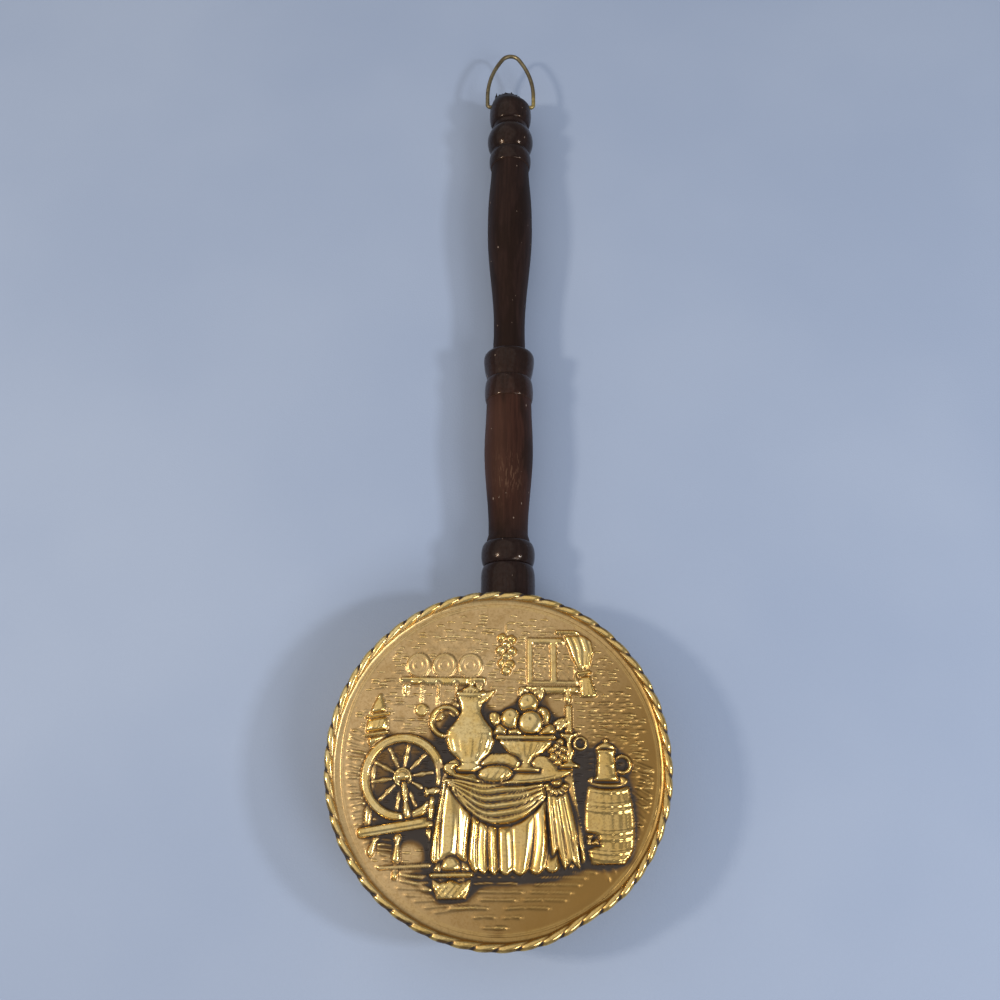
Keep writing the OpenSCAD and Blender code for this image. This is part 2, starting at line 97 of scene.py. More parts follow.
def light_up():
    """A warm lamp on the left, two white ones on the right, and a wide soft light over them."""
    area_light("lamp_left", (-0.72, 0.02, 0.68), (0, 0.12, 0.02), (0.1, 0.1), 3.2, (1.0, 0.86, 0.68))
    area_light("lamp_right", (0.84, -0.1, 0.72), (0, 0.12, 0.02), (0.11, 0.11), 3.3, (1.0, 1.0, 1.0))
    area_light("lamp_low", (0.95, -0.8, 1.15), (0, 0.05, 0.02), (0.6, 0.6), 7.5, (1.0, 0.98, 0.95))
    area_light("soft_left", (-0.62, 0.5, 1.45), (0, 0.1, 0.02), (2.8, 2.8), 11, (1.0, 0.95, 0.88))
    world = bpy.data.worlds.new("room")
    world.use_nodes = True
    back = world.node_tree.nodes["Background"]
    back.inputs["Color"].default_value = (0.80, 0.80, 0.82, 1)
    back.inputs["Strength"].default_value = 0.32
    bpy.context.scene.world = world


# ---- materials
class Paint:
    """A material and short ways to add nodes to it. An input is a socket or a constant."""

    def __init__(self, name):
        self.mat = bpy.data.materials.new(name)
        self.mat.use_nodes = True
        self.nodes = self.mat.node_tree.nodes
        self.shader = self.nodes["Principled BSDF"]

    def set(self, socket, value):
        if isinstance(value, bpy.types.NodeSocket):
            self.mat.node_tree.links.new(value, socket)
        elif isinstance(value, tuple) and len(value) == 3 and socket.type == "RGBA":
            socket.default_value = (*value, 1)
        else:
            socket.default_value = value

    def add(self, kind, out=0, props=None, **inputs):
        node = self.nodes.new("ShaderNode" + kind)
        for key, value in (props or {}).items():
            setattr(node, key, value)
        for key, value in inputs.items():
            socket = node.inputs[int(key[1:])] if key[1:].isdigit() else node.inputs[key.replace("_", " ")]
            self.set(socket, value)
        return node.outputs[out]

    def math(self, operation, a, b=0.0, clamp=False):
        return self.add("Math", props={"operation": operation, "use_clamp": clamp}, i0=a, i1=b)

    def times(self, a, b):
        return self.math("MULTIPLY", a, b)

    def plus(self, a, b, clamp=False):
        return self.math("ADD", a, b, clamp)

    def most(self, a, b):
        return self.math("MAXIMUM", a, b)

    def rest(self, a):
        """What is left of 1."""
        return self.math("SUBTRACT", 1.0, a)

    def swing(self, noise, amount):
        """A noise of 0 to 1 turned into one about 0."""
        return self.times(self.math("SUBTRACT", noise, 0.5), amount)

    def split(self):
        """The x, y and z of a point."""
        return self.add("SeparateXYZ", i0=self.place()).node.outputs

    def mix(self, factor, a, b, most=1.0):
        """Colour a going over into b, by the factor times the most of b that shows."""
        factor = factor if most == 1.0 else self.times(factor, most)
        return self.add("Mix", out=2, props={"data_type": "RGBA"}, i0=factor, i6=a, i7=b)

    def ramp(self, value, low, high, to_low=0.0, to_high=1.0):
        return self.add("MapRange", props={"interpolation_type": "SMOOTHSTEP"}, i0=value, i1=low, i2=high,
                        i3=to_low, i4=to_high)

    def place(self, stretch=None):
        """Where a point is, in metres. A pattern is drawn out along the axes whose share is below 1."""
        co = self.nodes.get("Texture Coordinate") or self.nodes.new("ShaderNodeTexCoord")
        return self.add("Mapping", i0=co.outputs["Object"], i3=stretch) if stretch else co.outputs["Object"]

    def noise(self, scale, detail, rough, distortion=0.0, stretch=None, vector=None):
        vector = self.place(stretch) if vector is None else vector
        return self.add("TexNoise", i0=vector, i2=scale, i3=detail, Roughness=rough, Distortion=distortion)

    def attribute(self, name):
        return self.add("Attribute", out=2, props={"attribute_name": name})

    def bump(self, height, distance, strength=1.0, normal=None):
        extra = {} if normal is None else {"Normal": normal}
        return self.add("Bump", Height=height, Distance=distance, Strength=strength, **extra)

    def finish(self, **inputs):
        for key, value in inputs.items():
            self.set(self.shader.inputs[key.replace("_", " ")], value)
        return self.mat


# ---- mesh building
def smooth(t):
    t = np.clip(t, 0, 1)
    return t * t * (3 - 2 * t)


def gauss(x, centre, width):
    return np.exp(-(((x - centre) / width) ** 2))


def new_mesh(name, points, quads, tris=(), attributes=None):
    """A mesh object from points in millimetres and faces given as rows of point numbers."""
    sides = [np.asarray(f, np.int32).reshape(-1, n) for f, n in ((quads, 4), (tris, 3))]
    mesh = bpy.data.meshes.new(name)
    mesh.vertices.add(len(points))
    mesh.vertices.foreach_set("co", (np.asarray(points) * MM).astype(np.float32).ravel())
    corners = np.concatenate([s.ravel() for s in sides])
    totals = np.concatenate([np.full(len(s), s.shape[1], np.int32) for s in sides])
    mesh.loops.add(len(corners))
    mesh.loops.foreach_set("vertex_index", corners)
    mesh.polygons.add(len(totals))
    mesh.polygons.foreach_set("loop_start", np.concatenate([[0], np.cumsum(totals)[:-1]]).astype(np.int32))
    mesh.update(calc_edges=True)
    mesh.validate()
    mesh.polygons.foreach_set("use_smooth", np.ones(len(mesh.polygons), bool))
    for key, values in (attributes or {}).items():
        layer = mesh.attributes.new(key, "FLOAT", "POINT")
        layer.data.foreach_set("value", np.asarray(values, np.float32))
    obj = bpy.data.objects.new(name, mesh)
    bpy.context.scene.collection.objects.link(obj)
    return obj


def tube_quads(rows, sides, first=0):
    """Quads between rows of points that each run once round. Rows follow each other in the list."""
    i = np.arange(rows - 1)[:, None] * sides + first
    j = np.arange(sides)[None, :]
    k = (j + 1) % sides
    return np.stack([i + j, i + k, i + sides + k, i + sides + j], -1).reshape(-1, 4)


def fan(centre, ring, flip=False):
    """Triangles from a centre point to a ring of points."""
    a, b = ring, np.roll(ring, -1)
    c = np.full(len(a), centre)
    return np.stack([c, b, a] if flip else [c, a, b], -1)


def tube(name, rings, ends, attributes=None, flip=False):
    """A closed mesh through rings of points, with a middle point at each end."""
    count, sides = len(rings), len(rings[0])
    total = count * sides
    quads = tube_quads(count, sides)
    first = fan(total, np.arange(sides), not flip)
    last = fan(total + 1, np.arange(total - sides, total), flip)
    points = np.concatenate([*rings, ends])
    quads = quads[:, ::-1] if flip else quads
    return new_mesh(name, points, quads, np.concatenate([first, last]), attributes)


def cut_out(obj, cutter):
    """Takes the cutter's volume out of a closed mesh, for good."""
    mod = obj.modifiers.new("cut", "BOOLEAN")
    mod.operation = "DIFFERENCE"
    mod.solver = "EXACT"
    mod.object = cutter
    bpy.context.view_layer.update()
    done = bpy.data.meshes.new_from_object(obj.evaluated_get(bpy.context.evaluated_depsgraph_get()))
    obj.modifiers.clear()
    old, obj.data = obj.data, done
    bpy.data.meshes.remove(old)
    bpy.data.objects.remove(cutter)
    obj.data.name = obj.name


def rod(name, start, end, radius):
    """A plain closed cylinder between two points, used to cut holes."""
    start, end = np.array(start, float), np.array(end, float)
    along = (end - start) / np.linalg.norm(end - start)
    side = np.cross(along, [0, 0, 1.0])
    side /= np.linalg.norm(side)
    up = np.cross(side, along)
    a = np.linspace(0, 2 * np.pi, 48, endpoint=False)[:, None]
    ring = radius * (np.cos(a) * side - np.sin(a) * up)
    return tube(name, [start + ring, end + ring], [start, end])


# ---- dent and waviness of the rim, angles in degrees
def about(a, centre, width):
    """A soft bump at an angle, which may lie near 0."""
    return gauss((a - centre + 180) % 360, 180, width)


def sway(a, times, start=0):
    """A wave that goes round a whole number of times."""
    return np.sin(np.radians(times * a + start))


def clockwise(x, y):
    """Angle in degrees, clockwise from the handle seen from above."""
    return np.degrees(np.arctan2(x, y)) % 360


def edge_push(a):
    """How far the rope edge is pushed inwards at an angle: one old dent, a flatter side and waviness."""
    wave = 0.05 * sway(a, 3, 40) + 0.04 * sway(a, 7) + 0.03 * sway(a, 17, 90)
    return 0.13 + wave + 1.7 * gauss(a, 150, 11) + 0.85 * gauss(a, 84, 19) + 0.3 * gauss(a, 50, 12)


def foot_push(a):
    """How far the foot of the rim's slope is pushed inwards."""
    wave = 0.12 * sway(a, 2, 10) + 0.07 * sway(a, 5, 70)
    return 0.2 + wave + 1.3 * gauss(a, 268, 22) + 0.25 * gauss(a, 60, 25) - 0.3 * gauss(a, 125, 30)


def dented(points):
    """Moves points near the rim inwards as the dent does: in full outside a radius of 75 and above a
    height of 29, and not at all inside 66 or below 12."""
    x, y, z = points.T
    r = np.hypot(x, y)
    share = smooth((r - 66) / 9) * smooth((z - 12) / 17)
    k = 1 - edge_push(clockwise(x, y)) * share / np.maximum(r, 1)
    return np.stack([x * k, y * k, z], -1)


# ---- relief: a kitchen still life
def dome(t):
    return np.sqrt(1 - (1 - np.clip(t, 0, 1)) ** 2)


def ridge(u, sharp=0.7):
    """Rounded ridges with narrow valleys, one to each whole step of u."""
    return abs(np.sin(np.pi * u)) ** sharp


def facing(v, r):
    """How far round the front of a turned form a point is, from -1 to 1."""
    return np.arcsin(np.clip(v / np.maximum(r, 0.1), -1, 1)) / math.pi * 2


def within(t, v, r, low=0.0, high=1.0):
    """Where a turned form lies between two shares of its length."""
    return (abs(v) < r) & (t > low) & (t < high)


class Relief:
    """A height field in millimetres, on points x, y of a circle of radius PATTERN_R. Places are
    millimetres from the middle, y towards the handle."""

    def __init__(self, x, y):
        self.x, self.y = x, y
        self.h = np.zeros_like(x)

    # -- outlines: distance inside, in units --
    def oval(self, cx, cy, a, b=None, turn=0.0):
        b = a if b is None else b
        c, s = math.cos(math.radians(turn)), math.sin(math.radians(turn))
        dx, dy = self.x - cx, self.y - cy
        u, v = dx * c + dy * s, dy * c - dx * s
        return (1 - np.sqrt((u / a) ** 2 + (v / b) ** 2)) * min(a, b)

    def along(self, p, q, near=slice(None)):
        """Share of the way from p to q, distance to the side (left positive), and the length."""
        dx, dy = q[0] - p[0], q[1] - p[1]
        n = math.hypot(dx, dy)
        ex, ey = self.x[near] - p[0], self.y[near] - p[1]
        return (ex * dx + ey * dy) / (n * n), (ey * dx - ex * dy) / n, n

    def bar(self, p, q, w, w2=None):
        t, v, n = self.along(p, q)
        k = np.clip(t, 0, 1)
        half = (w + ((w if w2 is None else w2) - w) * k) / 2
        return half - np.hypot(v, (t - k) * n)

    def polygon(self, pts):
        d2 = np.full_like(self.x, 1e9)
        inside = np.zeros(self.x.shape, bool)
        for (ax, ay), (bx, by) in zip(pts, pts[1:] + pts[:1]):
            dx, dy = bx - ax, by - ay
            ex, ey = self.x - ax, self.y - ay
            t = np.clip((ex * dx + ey * dy) / (dx * dx + dy * dy), 0, 1)
            d2 = np.minimum(d2, (ex - t * dx) ** 2 + (ey - t * dy) ** 2)
            if ay != by:
                cross = (self.y >= min(ay, by)) & (self.y < max(ay, by))
                inside ^= cross & (self.x < ax + (self.y - ay) * dx / dy)
        return np.where(inside, 1, -1) * np.sqrt(d2)

    # -- forms, laid one over another --
    def put(self, d, front, halo=1.1, cut=0.8):
        """Lays a form over what is there, with a groove round it."""
        back = self.h * (1 - cut * np.exp(-((np.minimum(d, 0) / halo) ** 2)))
        self.h = np.where(d > 0, front, back)

    def slab(self, d, top, shoulder=2.5, base=0.3, **how):
        self.put(d, top * (base + (1 - base) * dome(d / shoulder)), **how)

    def plate(self, points, top, shoulder, **how):
        self.slab(self.polygon(points), top, shoulder, **how)

    def beam(self, p, q, width, top, shoulder, **how):
        self.slab(self.bar(p, q, width), top, shoulder, **how)

    def disc(self, cx, cy, r, top, shoulder, **how):
        self.slab(self.oval(cx, cy, r), top, shoulder, **how)

    def flutes(self, t, v, r, low, high, count, shift, soft):
        """Flutes down a turned form between two shares of its length."""
        ends = smooth((t - low) * soft) * smooth((high - t) * 14)
        self.h += within(t, v, r, low, high) * 0.42 * (ridge(facing(v, r) * count + shift) - 0.6) * ends

    def bands(self, places, t, v, r, length, width):
        """Raised lines across a turned form, at shares of its length."""
        for place in places:
            self.h += 0.3 * gauss((t - place) * length, 0, width) * (abs(v) < r)

    def turned(self, p, q, stations, top, **how):
        """A turned form on the axis from p to q. Stations are (share of the length, half width)."""
        t, v, n = self.along(p, q)
        r = np.interp(t, *zip(*stations))
        d = np.minimum(r - abs(v), np.minimum(t, 1 - t) * n)
        round_ = np.sqrt(np.clip(1 - (v / np.maximum(r, 0.1)) ** 2, 0, 1))
        widest = max(s[1] for s in stations)
        front = top * (0.25 + 0.75 * round_ * (r / widest) ** 0.4) * smooth(0.4 + d)
        self.put(d, front, **how)
        return t, v, r, round_

    def ring(self, cx, cy, r, w, top, **how):
        rho = np.hypot(self.x - cx, self.y - cy)
        d = w / 2 - abs(rho - r)
        self.put(d, top * np.sqrt(np.clip(1 - ((rho - r) / (w / 2)) ** 2, 0, 1)), **how)

    def stroke(self, p, q, w, amount, taper=True):
        """A fine raised line added on the field."""
        near = np.where((self.x > min(p[0], q[0]) - 2 * w) & (self.x < max(p[0], q[0]) + 2 * w)
                        & (self.y > min(p[1], q[1]) - 2 * w) & (self.y < max(p[1], q[1]) + 2 * w))[0]
        t, v, n = self.along(p, q, near)
        k = np.clip(t, 0, 1)
        d = np.hypot(v, (t - k) * n) / (w / 2)
        ends = smooth(np.minimum(k, 1 - k) * n / 1.5) * 0.6 + 0.4 if taper else 1
        self.h[near] += amount * ends * np.exp(-(d ** 2))


def wall_and_floor(R, rng):
    def inside(x, y, margin=3.5):
        return math.hypot(x, y) < PATTERN_R - margin

    # brick courses, upper left and the middle
    for row in range(17):
        y = 4 + row * 3.6
        for k in range(-8, 9):
            x = k * 9.2 + (4.6 if row % 2 else 0)
            skip, length, tilt = rng.random() < 0.2, 5.2 + 1.6 * rng.random(), 0.5 * (rng.random() - 0.5)
            if skip or x > 9 or not inside(x, y):
                continue
            R.stroke((x - length / 2, y - tilt), (x + length / 2, y + tilt), 1.2, 0.55)
    # short plaster ticks, upper right
    for row in range(16):
        y = 26 + row * 2.5
        for k in range(12):
            x = 9 + k * 5 + (2.5 if row % 2 else 0) + rng.normal(0, 0.4)
            length, dy = 1.6 + 2.2 * rng.random(), 0.35 * rng.normal()
            if rng.random() < 0.25 or not inside(x + length, y):
                continue
            R.stroke((x, y - dy), (x + length, y + dy + 0.3), 1.2, 0.62)
    # rubble wall behind the candle and the barrel
    for row in range(28):
        y = 26 - row * 2.45
        x = 38 + 3 * rng.random()
        while inside(x + 3, y, 4.5):
            length = 2.6 + 3.6 * rng.random()
            R.stroke((x, y + 0.2 * rng.normal()), (x + length, y + 0.5), 1.2, 0.6)
            x += length + 1.6 + 1.2 * rng.random()
    # boards at the far left, below and beside the wheel
    for row in range(26):
        y = 3 - row * 2.15
        edge = -math.sqrt((PATTERN_R - 4) ** 2 - y * y)
        x0 = edge + 1.5 * rng.random()
        R.stroke((x0, y + 0.5), (x0 + 6 + 6 * rng.random(), y - 0.3), 1.2, 0.62)
    # hatching towards the rim, left and lower right
    for start, stop, step, slant in ((236, 282, 2.5, 0.02), (92, 137, 3.1, 0.05), (203, 232, 4.2, 0.28)):
        for a in np.arange(start, stop, step):
            t = math.radians(a + 0.8 * rng.random())
            r0, r1 = 58.5 + 3 * rng.random(), 69.4 - 0.8 * rng.random()
            inner = (r0 * math.sin(t - slant), r0 * math.cos(t - slant))
            R.stroke(inner, (r1 * math.sin(t), r1 * math.cos(t)), 1.35, 0.6)
    # floor boards
    for k in range(9):
        y = -46 - 2.4 * k - 0.12 * k * k
        half = math.sqrt(max(67 ** 2 - y * y, 1)) - 4
        segs = 3 if half > 25 else 2
        for i in range(segs):
            x0 = -half + 2 * half * i / segs + 3 * rng.random()
            x1 = -half + 2 * half * (i + 1) / segs - 4 * rng.random()
            bow, xm = 0.9 * (rng.random() - 0.3), (x0 + x1) / 2
            R.stroke((x0, y), (xm, y + bow), 1.3, 0.75)
            R.stroke((xm, y + bow), (x1, y + 0.5 * bow), 1.3, 0.75)


def spinning_wheel(R):
    hub = (-43, -7)
    # far post and distaff
    post = [(0, 1.3), (0.2, 1.9), (0.25, 1.1), (0.6, 1.7), (0.8, 1.0), (1, 1.3)]
    R.turned((-58, -29), (-56, 10), post, 1.5)
    flax = [(0, 1), (0.12, 3.2), (0.35, 5.2), (0.6, 4.6), (0.85, 2.2), (1, 0.7)]
    t, v, r, c = R.turned((-56.2, 4), (-54.6, 30), flax, 2.4)
    u = (v / np.maximum(r, 0.1)) * 2.2 + t * 1.5
    inside = within(t, v, r, 0.02, 0.98)
    R.h += inside * 0.45 * (ridge(u, 0.8) - 0.6)
    for s in (0.3, 0.62):
        p = (-56.2 + 1.6 * s, 4 + 26 * s)
        R.beam((p[0] - 5, p[1] - 0.8), (p[0] + 5, p[1] + 0.8), 1.3, 2.6, 0.6)
    # bench and legs
    for a, b in (((-53, -30), (-58, -45)), ((-44, -29), (-45, -50)), ((-31, -27), (-27, -47))):
        R.turned(a, b, [(0, 1.0), (0.18, 1.9), (0.3, 1.0), (0.6, 1.9), (0.72, 1.1), (1, 1.5)], 1.7)
    R.beam((-55, -45.5), (-30, -44), 1.8, 1.1, 0.9)
    # spokes, rim and hub
    spoke = [(0, 0.7), (0.3, 0.8), (0.5, 1.35), (0.62, 0.8), (0.85, 1.1), (1, 0.8)]
    for k in range(10):
        a = math.radians(36 * k + 9)
        c, s = math.cos(a), math.sin(a)
        start, end = [(hub[0] + r * c, hub[1] + r * s) for r in (2, 16)]
        R.turned(start, end, spoke, 1.3, halo=0.7, cut=0.5)
    R.ring(*hub, 17, 4.2, 2.0)
    rho = np.hypot(R.x - hub[0], R.y - hub[1])
    R.h -= 0.55 * gauss(rho, 17, 0.55) * (R.h > 1)
    R.disc(*hub, 3.4, 2.4, 2.2)
    R.ring(*hub, 3.6, 1.1, 2.2, cut=0.3)
    R.turned((-40, -26), (-42.4, -9), [(0, 1.2), (0.3, 1.9), (0.5, 1.1), (0.8, 1.6), (1, 1.1)], 2.1)
    R.plate([(-63, -33.5), (-62, -29), (-26.5, -23), (-26, -27.5)], 2.2, 1.6)
    R.stroke((-61, -32), (-28, -26.3), 0.9, -0.5)
    # flyer post and bobbin
    R.turned((-30, -25), (-29.4, -14), [(0, 1.1), (0.4, 1.7), (0.6, 1.0), (1, 1.3)], 2.0)
    bobbin = [(0, 2.2), (0.16, 2.2), (0.18, 1.3), (0.5, 1.9), (0.82, 1.3), (0.84, 2.2), (1, 2.2)]
    R.turned((-33, -13.4), (-24.6, -12.4), bobbin, 2.1)


def basket(R):
    t, v, r, c = R.turned((-20, -57.5), (-20.3, -47.5), [(0, 6.4), (0.5, 8.4), (1, 8.8)], 2.2)
    inside = within(t, v, r, 0.03, 0.9)
    weave = np.sign(np.sin(v * 2.2)) * np.sin(t * 10 * 2.1)
    R.h += inside * 0.22 * weave
    for cx, cy, rr in ((-24.6, -46.6, 3.7), (-16.2, -46.4, 4.0), (-20.5, -44.4, 4.1)):
        R.disc(cx, cy, rr, 2.1, rr, base=0.15)
        inside = R.oval(cx, cy, rr) > 0.2
        R.h += inside * 0.22 * (ridge((R.x - cx) * 0.5 + (R.y - cy) * 0.35) - 0.5)
    R.beam((-28.9, -48), (-11.6, -47.6), 2.0, 2.2, 1.0)


def cloth(R):
    x, y = R.x, R.y
    cx, cy, a, b = 4, -3, 29, 6.5
    w = a + 5 * smooth((cy - y) / 40)
    u = np.clip((x - cx) / w, -1, 1)
    ang = np.arcsin(u)
    drop = np.clip((cy - y) / 40, 0, 1.2)
    phase = 6.4 * ang / (math.pi / 2) + 0.5 * np.sin(2.1 * ang + 0.6) + 0.22 * np.sin(6.3 * ang + 2) \
        + 0.6 * drop * np.sin(3 * ang + 0.5) + 0.16 * np.sin(4 * drop + 5 * ang)
    hem = cy - 36 - 7 * np.cos(ang) - 1.8 * ridge(phase, 1.0)
    edge = cy - b * np.sqrt(np.clip(1 - ((x - cx) / a) ** 2, 0, 1))
    d = np.minimum(w - abs(x - cx), y - hem)
    fold = ridge(phase, 0.8) - 0.6
    amp = (0.7 + 1.6 * smooth(drop * 1.6)) * (0.72 + 0.28 * np.sin(2.3 * phase + 2.2 * drop + 0.6))
    small = 0.18 * (ridge(phase * 2 + 0.3, 1) - 0.5) * smooth(drop * 2)
    body = 1.5 * (0.35 + 0.65 * dome(d / 2.2)) + amp * fold + small
    R.put(np.where(y < cy, d, FAR), np.maximum(body, 0.12), halo=1.4)
    # the hem's turned edge
    R.h += 0.35 * gauss(y - hem, 1.0, 0.8) * (d > 0) * (y < cy)
    # swag hung between two corners of the table
    half, xm, y0 = 25.5, 1.0, -7.5
    bow = np.clip(1 - ((x - xm) / half) ** 2, 0.02, 1)
    s = (y0 - y) / bow
    ds = np.minimum(np.minimum(s + 1.5, 19.5 - s) * bow ** 0.7, (half - abs(x - xm)) * 0.8)
    ds = np.where((y < edge + 1.2) & (abs(x - xm) < half), ds, FAR)
    sag = 0.22 * np.sin((x - xm) / 6.5) + 0.1 * np.sin(x / 2.9 + 1)
    fold = ridge(s / 3.3 + sag, 0.75) - 0.55
    front = 1.9 * (0.5 + 0.5 * dome(ds / 2.4)) + 1.5 * fold * smooth(bow * 2.5)
    R.put(ds, np.maximum(front, 0.35), halo=1.6, cut=0.9)
    # gathered corner and its hanging tail
    tail = R.polygon([(21.5, -9), (29.5, -9.5), (34, -27), (35.5, -45), (31.8, -41.5), (28.8, -45.5),
                      (25.8, -37.5), (23.4, -40), (21.8, -24)])
    v = (x - 25.5 - 0.16 * (-9 - y)) / (3.4 + 0.07 * np.clip(-9 - y, 0, 40))
    front = 1.8 * (0.45 + 0.55 * dome(tail / 1.6)) + 1.1 * (ridge(v * 1.5 + 0.2, 0.65) - 0.5)
    R.put(tail, np.maximum(front, 0.4), halo=1.6, cut=0.9)
    for k in range(7):
        an = math.radians(-160 + 23 * k)
        tip = (25.6 + 4.8 * math.cos(an), -8.6 + 4.8 * math.sin(an))
        R.slab(R.bar((25.6, -8.6), tip, 1.6, 2.3), 2.5, 1.0, halo=0.6, cut=0.5)
    R.slab(R.oval(25.6, -8.2, 2.5, 2.2), 2.8, 1.6)
    # table top
    top = R.oval(cx, cy, a, b)
    front = 1.5 + 0.25 * np.clip((cy + b - y) / (2 * b), 0, 1)
    R.put(top, front + 0.12 * (ridge((x - y * 1.4) / 3.2, 1) - 0.5), cut=0.6)
    R.h += 0.8 * gauss(top, 0.55, 0.6) * (y < cy + 2)


def jug(R):
    # handle, then the body over it
    R.ring(-24.3, 17.5, 6.4, 2.3, 2.0)
    outline = [(0, 5.6), (0.045, 6.4), (0.09, 4.2), (0.13, 4.6), (0.25, 9.4), (0.4, 11.3), (0.52, 10.6),
               (0.66, 6.6), (0.76, 4.6), (0.88, 5.2), (1, 7.0)]
    t, v, r, c = R.turned((-13, -4.5), (-13, 30), outline, 2.7)
    R.bands((0.13, 0.5, 0.565, 0.76, 0.97), t, v, r, 34.5, 0.55)
    R.flutes(t, v, r, 0.14, 0.48, 4.5, 0.5, 12)
    # spout and lid
    spout = [(-8.6, 24.5), (-3.2, 29.6), (-1.6, 32.2), (-6.0, 31.0), (-8.4, 29.6)]
    R.plate(spout, 2.2, 1.4, halo=0.6, cut=0.3)
    R.slab(R.oval(-13, 30.2, 7.2, 2.0), 2.5, 1.4, halo=0.6, cut=0.4)
    knob = [(0, 5), (0.3, 3.4), (0.5, 1.0), (0.75, 1.7), (1, 0.9)]
    R.turned((-13, 31), (-13, 36.5), knob, 2.3, halo=0.6, cut=0.4)


def fruit_bowl(R):
    # leaves behind
    leaves = (((2, 15), (-4.2, 21.5), 5.4), ((24, 14), (30.5, 19), 5.0), ((13, 26), (9.5, 33.5), 5.2),
              ((14.5, 26), (20, 32.5), 5.0))
    for p, q, w in leaves:
        t, v, n = R.along(p, q)
        half = w / 2 * np.sqrt(np.clip(4 * t * (1 - t), 0, 1)) ** 1.3
        d = np.where((t > 0) & (t < 1), half - abs(v), FAR)
        veins = 0.15 * np.sin((t * n - abs(v)) * 2.6) - 0.45 * gauss(v, 0, 0.5)
        R.put(d, 0.9 + 0.8 * dome(d / 1.6) + veins, halo=0.8)
    # fruit
    for cx, cy, r in ((1.8, 12.6, 4.3), (8.6, 12.4, 4.9), (21.0, 13.2, 4.5), (5.2, 19.2, 4.5),
                      (19.0, 20.2, 4.3), (13.2, 26.0, 4.6), (14.2, 17.2, 5.5)):
        d = R.oval(cx, cy, r)
        stalk = np.exp(-(((R.x - cx) ** 2 + (R.y - cy - 0.35 * r) ** 2) / 0.7))
        R.put(d, 2.85 * dome(d / r) ** 0.8 * 0.85 + 0.4 - 0.6 * stalk, halo=0.9)
    # grapes over the right side
    for cx, cy in ((24.6, 9.5), (27.4, 8.6), (25.6, 6.4), (28.6, 5.4), (23.6, 5.2), (26.4, 3.2), (28.6, 1.9),
                   (26.2, 0.2), (24.2, 2.2)):
        d = R.oval(cx, cy, 1.9)
        R.put(d, 0.5 + 2.0 * dome(d / 1.9), halo=0.6, cut=0.5)
    # bowl on its foot
    outline = [(0, 6.0), (0.07, 6.4), (0.14, 2.6), (0.26, 1.8), (0.33, 2.8), (0.4, 3.6), (0.55, 8.2),
               (0.75, 11.2), (0.93, 12.6), (1, 13.2)]
    t, v, r, c = R.turned((12, -4.2), (12, 11), outline, 2.7)
    R.flutes(t, v, r, 0.38, 0.86, 5.5, 0, 9)
    R.beam((-0.6, 10.6), (24.6, 10.6), 2.2, 2.8, 1.1, halo=0.6, cut=0.4)


def candle(R):
    stick = [(0, 4.6), (0.08, 4.8), (0.16, 2.0), (0.26, 1.2), (0.36, 2.2), (0.48, 2.7), (0.6, 1.3),
             (0.72, 1.2), (0.82, 2.0), (0.9, 4.2), (1, 4.4)]
    R.turned((31.5, -2.5), (31.5, 13), stick, 2.4)
    R.turned((31.5, 13), (31.5, 25.5), [(0, 2.0), (0.1, 1.75), (0.9, 1.7), (1, 1.3)], 1.8, halo=0.7)
    flame = [(31.5, 25.2), (33.0, 27.8), (32.4, 30.0), (31.3, 33.4), (30.2, 30.0), (29.9, 27.8)]
    R.plate(flame, 1.5, 1.2, halo=0.5, cut=0.4)
    R.ring(36.6, 8.2, 2.6, 1.2, 1.6)


def loaf(R):
    d = R.oval(-1.6, -5.2, 7.6, 3.5, 4)
    cuts = 0.35 * (ridge((R.x - 0.7 * R.y) / 3.3, 0.7) - 0.6) * smooth(d / 1.5)
    R.put(d, 1.2 + 1.5 * dome(d / 3.4) + cuts, halo=1.0)


def barrel(R):
    outline = [(0, 8.6), (0.1, 9.4), (0.3, 10.7), (0.5, 11.1), (0.7, 10.7), (0.9, 9.4), (1, 8.8)]
    t, v, r, c = R.turned((49, -43), (48.6, -8), outline, 2.0)
    inside = within(t, v, r)
    R.h -= inside * 0.4 * (1 - ridge(facing(v, r) * 4.5 + 0.5, 0.25))
    for s in (0.06, 0.13, 0.3, 0.37, 0.63, 0.7, 0.87, 0.94):
        bow = 1.4 * (v / np.maximum(r, 0.1)) ** 2
        m = np.exp(-((((t - s) * 35 - bow) / 1.0) ** 4)) * inside
        R.h += 0.55 * m * (0.4 + 0.6 * c)
    R.slab(R.oval(48.6, -8, 8.9, 2.7), 2.0, 1.0)
    R.put(R.oval(48.6, -8, 7.2, 1.7), 1.3, halo=0.5, cut=0.3)
    # tap
    R.turned((43.5, -33.5), (37.5, -35.5), [(0, 1.6), (0.3, 1.0), (0.7, 1.2), (1, 0.8)], 2.4)
    R.turned((39.5, -35.2), (39.9, -30.8), [(0, 0.8), (0.5, 0.7), (1, 1.8)], 2.3)


def tankard(R):
    R.ring(55.2, -0.8, 3.6, 1.7, 1.9)
    body = [(0, 5.8), (0.1, 5.4), (0.2, 4.7), (0.8, 4.1), (0.9, 4.5), (1, 4.6)]
    t, v, r, c = R.turned((48, -8.2), (48, 6), body, 2.6)
    R.bands((0.12, 0.5, 0.9), t, v, r, 14.2, 0.5)
    lid = [(0, 4.9), (0.35, 3.4), (0.6, 1.0), (0.8, 1.5), (1, 0.6)]
    R.turned((48, 6), (48, 10.6), lid, 2.3, halo=0.6, cut=0.4)


